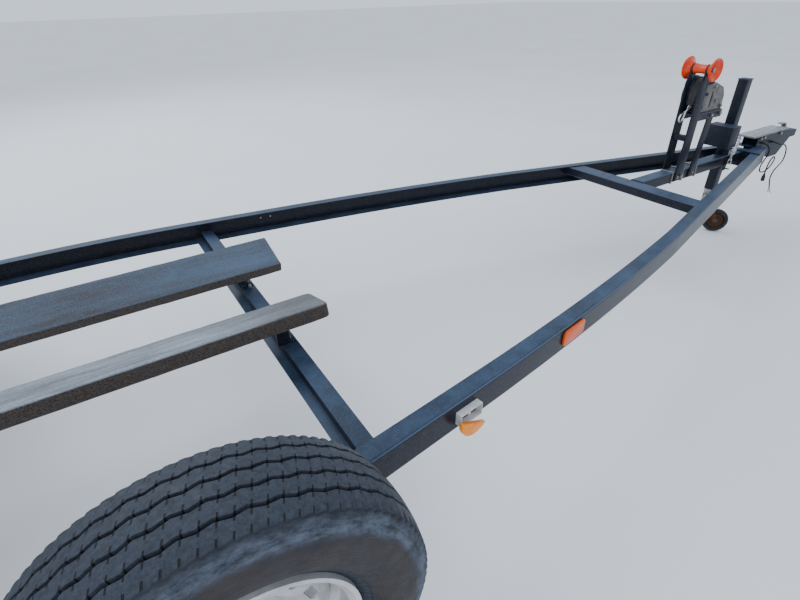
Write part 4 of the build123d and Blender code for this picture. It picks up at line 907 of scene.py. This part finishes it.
# %% Bunks
bunk_tilt = math.radians(16)
bunk_width = 0.186
bunk_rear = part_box("bunk_right")[0][0]
bunk_length = bunk_front - bunk_rear
bunk_middle_y = 0.231
bunk_middle_z = 0.572
lengths_cut = 120
end_thickness = 0.0033
wraps = (
    # side, its sign, thickness, sag under the plank, radius of the front corners, finish
    ("left", 1, 0.042, 0.0, 0.007, "shaded_carpet"),
    ("right", -1, 0.053, 0.0045, 0.024, "bunk_carpet"),
)


def cut_up(place, normal):
    """Cuts every face of the open piece along a plane."""
    bpy.ops.mesh.select_all(action="SELECT")
    bpy.ops.mesh.bisect(plane_co=place, plane_no=normal)


for side, sign, thickness, sag, corner, finish_name in wraps:
    middle = Vector(((bunk_front + bunk_rear) / 2, sign * bunk_middle_y, bunk_middle_z))
    tilt = Matrix.Rotation(sign * bunk_tilt, 4, "X")
    place = Matrix.Translation(middle) @ tilt @ Matrix.Translation((0, 0, -sag))
    sleeve = start("cube", f"carpet_{side}", size=(bunk_length / 2, bunk_width / 2, thickness / 2))
    edit(sleeve, "EDGE", lambda where, run: abs(run.x) < 1e-4 and abs(run.y) < 1e-4 and where.x > 0)
    bpy.ops.mesh.bevel(offset=corner, segments=6, affect="EDGES")
    edit(sleeve, "FACE")
    for cut in range(1, lengths_cut):
        cut_up((-bunk_length / 2 + bunk_length * cut / lengths_cut, 0, 0), (1, 0, 0))
    for y in (-0.06, -0.03, 0.0, 0.03, 0.06):
        cut_up((0, y, 0), (0, 1, 0))
    modify(sleeve, "BEVEL", width=0.009, segments=4, limit_method="ANGLE", angle_limit=math.radians(50))
    lumps = bpy.data.textures.new(f"pile_{side}", "CLOUDS")
    lumps.noise_scale = 0.05
    modify(sleeve, "DISPLACE", texture=lumps, strength=0.0022, mid_level=1.0, texture_coords="LOCAL")
    sleeve.data.transform(place)
    finish(sleeve, finish_name, "trailer", f"bunk_{side}", slot="bunk_carpet", angle=60)
    # The plank's rear end, where the carpet stops short
    plank_size = (end_thickness, bunk_width / 2 - 0.006, thickness / 2 - 0.006)
    plank = start("cube", f"plank_end_{side}", (-bunk_length / 2 + 0.0035, 0, 0), size=plank_size)
    modify(plank, "BEVEL", width=0.002, segments=2)
    plank.data.transform(place)
    finish(plank, "board_wood", "trailer", slot="bunk_carpet")

# %% [markdown]
# The winch's webbing is wound in many turns between the drum's cheeks, and its tail is folded around the
# hook's eye and stitched. The winding is a wide ring whose side faces are inset again and again, turn by turn.

# %% Wound strap
drum_place = joint_place["winch_drum_turn"]
wound_radius = 0.0803
wound_width = 0.0494
turn_thickness = 0.0022
turn_height = 0.0012
winding = start(
    "cylinder", "wound_strap", drum_place, (math.pi / 2, 0, 0), vertices=72, radius=wound_radius, depth=wound_width
)
edit(winding, "FACE", lambda middle, normal: abs(normal.y) < 0.5)
bpy.ops.mesh.subdivide(number_cuts=1)
edit(winding, "FACE", lambda middle, normal: abs(normal.y) > 0.9)
for turn in range(8):
    bpy.ops.mesh.inset(thickness=turn_thickness, depth=-turn_height if turn % 2 else turn_height)
finish(winding, "strap_web", "winch_drum")

# %% Strap's tail
web_half = 0.02
web_thickness = 0.0025
stitch_gap = 0.012
stitch_rise = 0.003
tail_low, tail_high = vectors(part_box("strap_tail"))
tail_x = (tail_low.x + tail_high.x) / 2
tail_middle = (tail_x, 0, (tail_low.z + tail_high.z) / 2)
tail_size = (web_thickness / 2, web_half, (tail_high.z - tail_low.z) / 2)
tail = start("cube", "strap_tail_web", tail_middle, size=tail_size)
edit(tail, "FACE", lambda middle, normal: normal.z < -0.9)
for fall, narrowing in ((0.004, 0.86), (0.005, 0.6), (0.003, 0.42)):
    pull(-fall)
    bpy.ops.transform.resize(value=(1.25, narrowing, 1))
modify(tail, "BEVEL", width=0.0006, segments=2, limit_method="ANGLE")
stitches = [
    Matrix.Translation((tail_x - 0.0014, -stitch_gap + stitch_gap * column, tail_low.z + 0.004 + stitch_rise * row))
    for row in range(7)
    for column in range(3)
]
stitch = start("cube", "stitch", size=(0.0005, 0.0035, 0.0005))
modify(stitch, "BEVEL", width=0.0003, segments=1)
seam = repeat(stitch, "strap_stitches", stitches)
finish(tail, "strap_web", "trailer", "strap_tail")
finish(seam, "strap_web", "trailer")

# %% [markdown]
# The snap hook is forged: an eye, a round shank, a wide bend that comes back to a nose, and a sprung gate.
# Its line is drawn as one smooth curve and given a round section, which a box-shaped start would not give.
# It hangs from the strap and leans on the shelf's rear edge, so its lean follows from where that edge is.

# %% Hook's lean
eye_drop = 0.020
edge_drop = 0.035
line_to_edge = 0.0062
hook_eye = Vector((tail_x, 0, tail_low.z - eye_drop))
edge_run = tail_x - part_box("winch_stand")[0][0]
lean = math.atan(edge_drop / edge_run) - math.asin(line_to_edge / math.hypot(edge_run, edge_drop))
along = Vector((-math.cos(lean), 0, -math.sin(lean)))
above = Vector((-math.sin(lean), 0, math.cos(lean)))
print("hook leans", round(math.degrees(lean), 1), "degrees")


def hook_point(forward, rise):
    """A place on the hook, by its distance along and above the hook's line."""
    return hook_eye + along * forward + above * rise


# %% Snap hook
eye_radius = 0.0122


def bar_along(name, line, thickness, cyclic=False):
    """A round bar that follows a smooth line, as a mesh."""
    curve = bpy.data.curves.new(name, "CURVE")
    curve.dimensions = "3D"
    curve.bevel_depth = thickness / 2
    curve.bevel_resolution = 3
    curve.resolution_u = 8
    curve.use_fill_caps = True
    spline = curve.splines.new("NURBS")
    spline.points.add(len(line) - 1)
    for point, place in zip(spline.points, line):
        point.co = (*place, 1)
    spline.order_u = 3
    spline.use_cyclic_u = cyclic
    spline.use_endpoint_u = not cyclic
    bar = bpy.data.objects.new(name, curve)
    bpy.context.scene.collection.objects.link(bar)
    hold(bar)
    bpy.ops.object.convert(target="MESH")
    bar = bpy.context.object
    edit(bar)
    bpy.ops.mesh.remove_doubles(threshold=0.00002)
    bpy.ops.mesh.normals_make_consistent(inside=False)
    close()
    return bar


eye_turns = [math.radians(degrees) for degrees in range(0, 360, 30)]
eye_line = [hook_point(eye_radius * math.cos(turn), eye_radius * math.sin(turn)) for turn in eye_turns]
shank = [(0.013, 0.0), (0.03, 0.001), (0.05, -0.010), (0.062, -0.0185)]
bend = [(0.077, -0.0215), (0.091, -0.0155), (0.0965, 0.0), (0.091, 0.0145), (0.078, 0.020), (0.068, 0.0195)]
gate = [(0.033, 0.003), (0.045, 0.010), (0.058, 0.0165), (0.0695, 0.0195)]
hook_eye_ring = bar_along("hook_eye", eye_line, 0.0066, cyclic=True)
hook_body = bar_along("hook_body", [hook_point(*pair) for pair in shank + bend], 0.0092)
hook_gate = bar_along("hook_gate", [hook_point(*pair) for pair in gate], 0.0042)
rivet_place = hook_point(0.036, 0.0035)
gate_rivet = start("cylinder", "gate_rivet", rivet_place, (math.pi / 2, 0, 0), vertices=14, radius=0.0035, depth=0.0124)
hook = join("snap_hook", [hook_body, hook_eye_ring, hook_gate, gate_rivet])
finish(hook, "hook_zinc", "trailer", "strap_hook", slot="bare_steel", angle=50)

# %% [markdown]
# The amber lens of the right lamp has broken off and hangs across its housing; the open housing shows a bulb
# in a rusty holder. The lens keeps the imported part's outline: its copy is cleaned and its edges are rounded.

# %% Lenses and reflectors


def refined(name, node, width, segments=2, cut_angle=30):
    """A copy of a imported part's mesh with its flat faces joined and its edges rounded."""
    piece = bpy.data.objects.new(name, nodes[node].data.copy())
    bpy.context.scene.collection.objects.link(piece)
    edit(piece)
    bpy.ops.mesh.remove_doubles(threshold=0.00001)
    bpy.ops.mesh.dissolve_limited(angle_limit=math.radians(2))
    modify(piece, "BEVEL", width=width, segments=segments, limit_method="ANGLE", angle_limit=math.radians(cut_angle))
    return piece


lens_right = refined("hanging_lens", "marker_lens_right", 0.0035, 3, 40)
finish(lens_right, "amber_lens", "trailer", "marker_lens_right")
lens_left = refined("marker_lens_cap", "marker_lens_left", 0.003, 3)
finish(lens_left, "amber_lens", "trailer", "marker_lens_left")
reflector_faces = refined("reflector_faces", "reflectors", 0.0015, 2, 50)
finish(reflector_faces, "reflector_plastic", "trailer", "reflectors", slot="amber_lens")

# %% Inside the right lamp
lamp_low, lamp_high = vectors(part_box("marker_lamps"))
lamp_x = (lamp_low.x + lamp_high.x) / 2
lamp_z = (lamp_low.z + lamp_high.z) / 2
# The rail bends inwards, and the lamp turns with it by this many radians
rail_turn = 0.139
housing_depth = 0.0275
lamp_out = Vector((math.sin(rail_turn), -math.cos(rail_turn), 0))
lamp_along = Vector((math.cos(rail_turn), math.sin(rail_turn), 0))
lamp_back = Vector((lamp_x - 0.0015, lamp_low.y + housing_depth, lamp_z))
holder = start("cylinder", "bulb_holder", vertices=20, radius=0.0085, depth=0.008)
edit(holder, "FACE", top)
bpy.ops.mesh.inset(thickness=0.002)
pull(-0.003)
close()
holder.data.transform(standing(lamp_back, lamp_out))
finish(holder, "rust", "trailer", slot="bare_steel")
bulb = start("uv_sphere", "lamp_bulb", segments=20, ring_count=12, radius=0.0055)
edit(bulb, "FACE", lambda middle, normal: normal.z < -0.75)
pull(-0.004)
close()
bulb.data.transform(standing(lamp_back + lamp_out * 0.0095, lamp_out))
finish(bulb, "old_glass", "trailer", slot="lamp_shell")
# Rust has run over the housing's back: a thin pan whose rim is pressed up
pan = start("cube", "lamp_pan", (0, 0, 0.0009), size=(0.039, 0.017, 0.0006))
edit(pan, "FACE", top)
bpy.ops.mesh.inset(thickness=0.0025, depth=-0.0006)
close()
pan_frame = Matrix((lamp_along, (0, 0, 1), lamp_out)).transposed().to_4x4()
pan.data.transform(Matrix.Translation(lamp_back + lamp_out * 0.0016) @ pan_frame)
finish(pan, "rust", "trailer", slot="bare_steel")

# %% [markdown]
# The plug is a moulded body with grip ribs and blades; the other lead ends where its sheath was stripped,
# in a fan of tan strands. Both go along as pieces of their cords.
# A plug is turned work, so it grows from one disc: its top is pulled up and made wider or narrower in turn.

# %% Plug
plug_tip = Vector(plug_route[-1])
plug_axis = (plug_tip - Vector(plug_route[-2])).normalized()
blade_circle = 0.0055
# Each step of the body: its rise, and its width as a share of the step before
grip_rib = ((0.003, 1.0), (0.001, 0.92), (0.003, 1.0), (0.001, 1.09))
plug_steps = ((0.002, 1.25), *grip_rib, *grip_rib, (0.0135, 1.0), (0.0015, 0.9))
plug_body = start("cylinder", "plug_body", (0, 0, 0.008), vertices=28, radius=0.0095, depth=0.016)
edit(plug_body, "FACE", top)
for rise, share in plug_steps:
    pull(rise)
    bpy.ops.transform.resize(value=(share, share, 1))
bpy.ops.mesh.inset(thickness=0.002)
pull(-0.005)
edit(plug_body, "FACE", lambda middle, normal: normal.z < -0.9 and middle.z < 0.001)
bpy.ops.transform.resize(value=(0.62, 0.62, 1))
modify(plug_body, "BEVEL", width=0.0004, segments=2, limit_method="ANGLE")
blades = []
for quarter in range(4):
    turn = quarter * math.pi / 2
    place = (blade_circle * math.cos(turn), blade_circle * math.sin(turn), 0.042)
    blade = start("cylinder", "blade", place, vertices=12, radius=0.0012, depth=0.010)
    modify(blade, "BEVEL", width=0.0004, segments=2)
    blades.append(blade)
plug_blades = join("plug_blades", blades)
plug_body.data.transform(standing(plug_tip, plug_axis))
plug_blades.data.transform(standing(plug_tip, plug_axis))
finish(plug_body, "plug_plastic", "trailer", "trailer_plug")
finish(plug_blades, "hook_zinc", "trailer", slot="bare_steel")

# %% Bare strands
strand_root = Vector(lamp_route[-1])
strand_axis = (strand_root - Vector(lamp_route[-2])).normalized()
strand_spread = 0.012
strand_thickness = 0.0032
strands = []
# Each strand: which way it strays sideways, and its length in metres
strays = ((-0.9, 0.3, 0.046), (0.1, -0.8, 0.054), (1.0, 0.2, 0.05), (0.3, 0.9, 0.042))
for index, (side_x, side_y, length) in enumerate(strays):
    spread = Vector((side_x, side_y, 0)) * strand_spread
    line = [strand_root - strand_axis * 0.004 + spread * 0.1]
    for share, away in ((0.4, 0.5), (0.8, 1.0), (1.0, 1.5)):
        line.append(strand_root + strand_axis * length * share + spread * away)
    strands.append(bar_along(f"strand_{index}", line, strand_thickness))
bare_strands = join("bare_strands", strands)
finish(bare_strands, "bare_strand", "trailer", slot="cable_sheath")

# %% Strain reliefs
relief_height = 0.022
relief_rings = 6
reliefs = []
for route in (plug_route, lamp_route):
    relief = start(
        "cone", "relief", (0, 0, relief_height / 2), vertices=24, radius1=0.0095, radius2=0.0052, depth=relief_height
    )
    edit(relief, "EDGE", lambda middle, run: abs(run.z) > 0.01)
    bpy.ops.mesh.subdivide(number_cuts=relief_rings - 1)
    for level in range(1, relief_rings, 2):
        ring_z = relief_height * level / relief_rings
        edit(relief, "EDGE", lambda middle, run: abs(run.z) < 1e-5 and abs(middle.z - ring_z) < 0.001)
        bpy.ops.transform.resize(value=(0.86, 0.86, 1), center_override=(0, 0, ring_z))
    close()
    relief.data.transform(standing(Vector(route[0]), (0, -1, 0)))
    reliefs.append(relief)
strain_reliefs = join("strain_reliefs", reliefs)
finish(strain_reliefs, "plug_plastic", "trailer")

# %% [markdown]
# Edges of cut plate are never sharp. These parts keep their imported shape, and a small bevel on a copy gives
# them the bright worn edge that paint and zinc get.

# %% Rounded plates and housings
rounded = {
    # part: bevel in metres
    "winch_stand": 0.0014,
    "winch_frame": 0.001,
    "tongue_box": 0.0016,
    "jack_outer_tube": 0.003,
    "coupler_latch": 0.0015,
    "step_plate": 0.0012,
    "bunk_brackets": 0.0015,
    "beam_straps": 0.0012,
    "spare_carrier": 0.0012,
    "tail_lamps": 0.004,
    "fender_left": 0.0008,
    "fender_right": 0.0008,
}
for node, width in rounded.items():
    piece = refined(f"{node}_rounded", node, width)
    finish(piece, special_finish.get(node, node_slot[node]), "trailer", node, slot=node_slot[node])

# %% [markdown]
# Bolts hold what isn't welded. One bolt head is modelled, and copies stand on each face that carries one.
# Each is spun by another angle, taken from its place, because nobody lines up bolt heads.

# %% Bolts of the stand and the bunks
stand_side_y = vectors(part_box("winch_stand"))[1].y
stand_x = joint_place["bow_roller_spin"].x - 0.01
stand_bolts = ((-0.022, 0.498), (0.022, 0.498), (0.133, 0.5), (0.165, 0.835), (0.255, 0.838))
bracket_bolt_z = 0.477
bolt_frames = []
for sign in (1, -1):
    for ahead, z in stand_bolts:
        bolt_frames.append(standing((stand_x + ahead, sign * stand_side_y, z), (0, sign, 0), (stand_x + ahead) * 40))
    for x in (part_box("bunk_cross_member")[0][0] + 0.052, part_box("middle_cross_member")[0][0] + 0.052):
        for y in (0.206, 0.256):
            bolt_frames.append(standing((x + 0.013, sign * (y - 0.018), bracket_bolt_z), (0, 0, 1), y * 90, 0.7))
print("bolts so far", len(bolt_frames))

# %% Bolts of the carrier, the fenders and the coupler
carrier_high = vectors(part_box("spare_carrier"))[1]
spare_place = wheels["spare"][1]
fender_bolt_y, fender_bolt_z = 0.958, 0.482
for x in (-0.045, 0.045):
    bolt_frames.append(standing((spare_place.x + x, carrier_high.y - 0.0092, 0.487), (0.1, -1, 0), x * 30))
for side, sign in (("left", 1), ("right", -1)):
    low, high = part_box(f"fender_{side}")
    for x in (low[0] + 0.06, low[0] + 0.14, high[0] - 0.14, high[0] - 0.06):
        bolt_frames.append(standing((x, sign * fender_bolt_y, fender_bolt_z), (0, sign, 0), x * 20))
housing_low, housing_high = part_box("coupler_housing")
for x in (housing_low[0] + 0.03, housing_low[0] + 0.075, housing_low[0] + 0.3):
    for sign in (-1, 1):
        bolt_frames.append(standing((x, sign * housing_high[1], 0.588), (0, sign, 0), x * 50))
bolts = repeat(make_bolt_head("bolt_head"), "frame_bolts", bolt_frames)
finish(bolts, "bare_steel", "trailer")

# %% Shaft nuts on the winch's near cheek
near_cheek_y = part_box("winch_frame")[0][1]
shaft_ends = ((2.084, 0.885), (2.275, 0.878), (2.165, 0.995))
nut_frames = [standing((x, near_cheek_y - 0.0001, z), (0, -1, 0), x * 9) for x, z in shaft_ends]
shaft_nuts = repeat(make_nut("shaft_nut", 0.017, 0.006, 0.005, 0.003), "cheek_nuts", nut_frames)
finish(shaft_nuts, "bare_steel", "trailer")

# %% [markdown]
# Welds join the beam, the jack's post and the coupler to what they stand on. A hand-laid bead is a row of
# overlapping drops, so one drop is modelled and copied along each seam.

# %% Weld beads
drop_step = 0.0042
beam_half = 0.038
post_half = 0.0285
coupler_seam = 0.11


def bead(start_place, end_place):
    """Frames of the drops along one seam."""
    first, last = Vector(start_place), Vector(end_place)
    count = max(2, round((last - first).length / drop_step))
    return [standing(first.lerp(last, index / count), last - first) for index in range(count + 1)]


front_high = vectors(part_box("front_cross_member"))[1]
beam_top = vectors(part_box("tongue_beam"))[1].z
post_x = joint_place["jack_caster_swivel"].x
seam_x, seam_z = front_high.x + 0.001, front_high.z + 0.0005
seams = bead((seam_x, -beam_half, seam_z), (seam_x, beam_half, seam_z))
for sign in (1, -1):
    place = (front_high.x + 0.0005, sign * beam_half)
    seams += bead((*place, 0.478), (*place, 0.522))
for sign in (1, -1):
    seams += bead((post_x - post_half, sign * post_half, beam_top), (post_x + post_half, sign * post_half, beam_top))
    seams += bead((post_x + sign * post_half, -post_half, beam_top), (post_x + sign * post_half, post_half, beam_top))
    side_y = sign * housing_high[1]
    seams += bead((housing_low[0], side_y, 0.5365), (housing_low[0] + coupler_seam, side_y, 0.5365))
drop = start("uv_sphere", "drop", segments=8, ring_count=5, radius=0.0034)
edit(drop, "FACE", lambda middle, normal: normal.z > 0.5)
bpy.ops.transform.resize(value=(1.1, 1.1, 0.8))
close()
drop.data.transform(Matrix.Diagonal((1, 1, 0.75, 1)))
welds = repeat(drop, "weld_beads", seams)
finish(welds, "frame_paint", "trailer", angle=60)

# %% [markdown]
# The jack's small wheel has a cast hub that rust has taken; its cap is turned: a disc, inset and pulled out.

# %% Jack wheel's hub caps
wheel_place = joint_place["jack_wheel_spin"]
wheel_axis = Vector(joints["jack_wheel_spin"]["axis"])
cap_out = 0.0078
cap = start("cylinder", "cap", (0, 0, 0.0025), vertices=28, radius=0.046, depth=0.005)
edit(cap, "FACE", top)
for thickness, depth in ((0.006, -0.002), (0.012, 0.0035), (0.010, -0.0015)):
    bpy.ops.mesh.inset(thickness=thickness, depth=depth)
close()
cap_frames = [standing(wheel_place + wheel_axis * sign * cap_out, wheel_axis * sign) for sign in (1, -1)]
caps = repeat(cap, "jack_hub_caps", cap_frames)
finish(caps, "rust", "jack_wheel", slot="bare_steel")
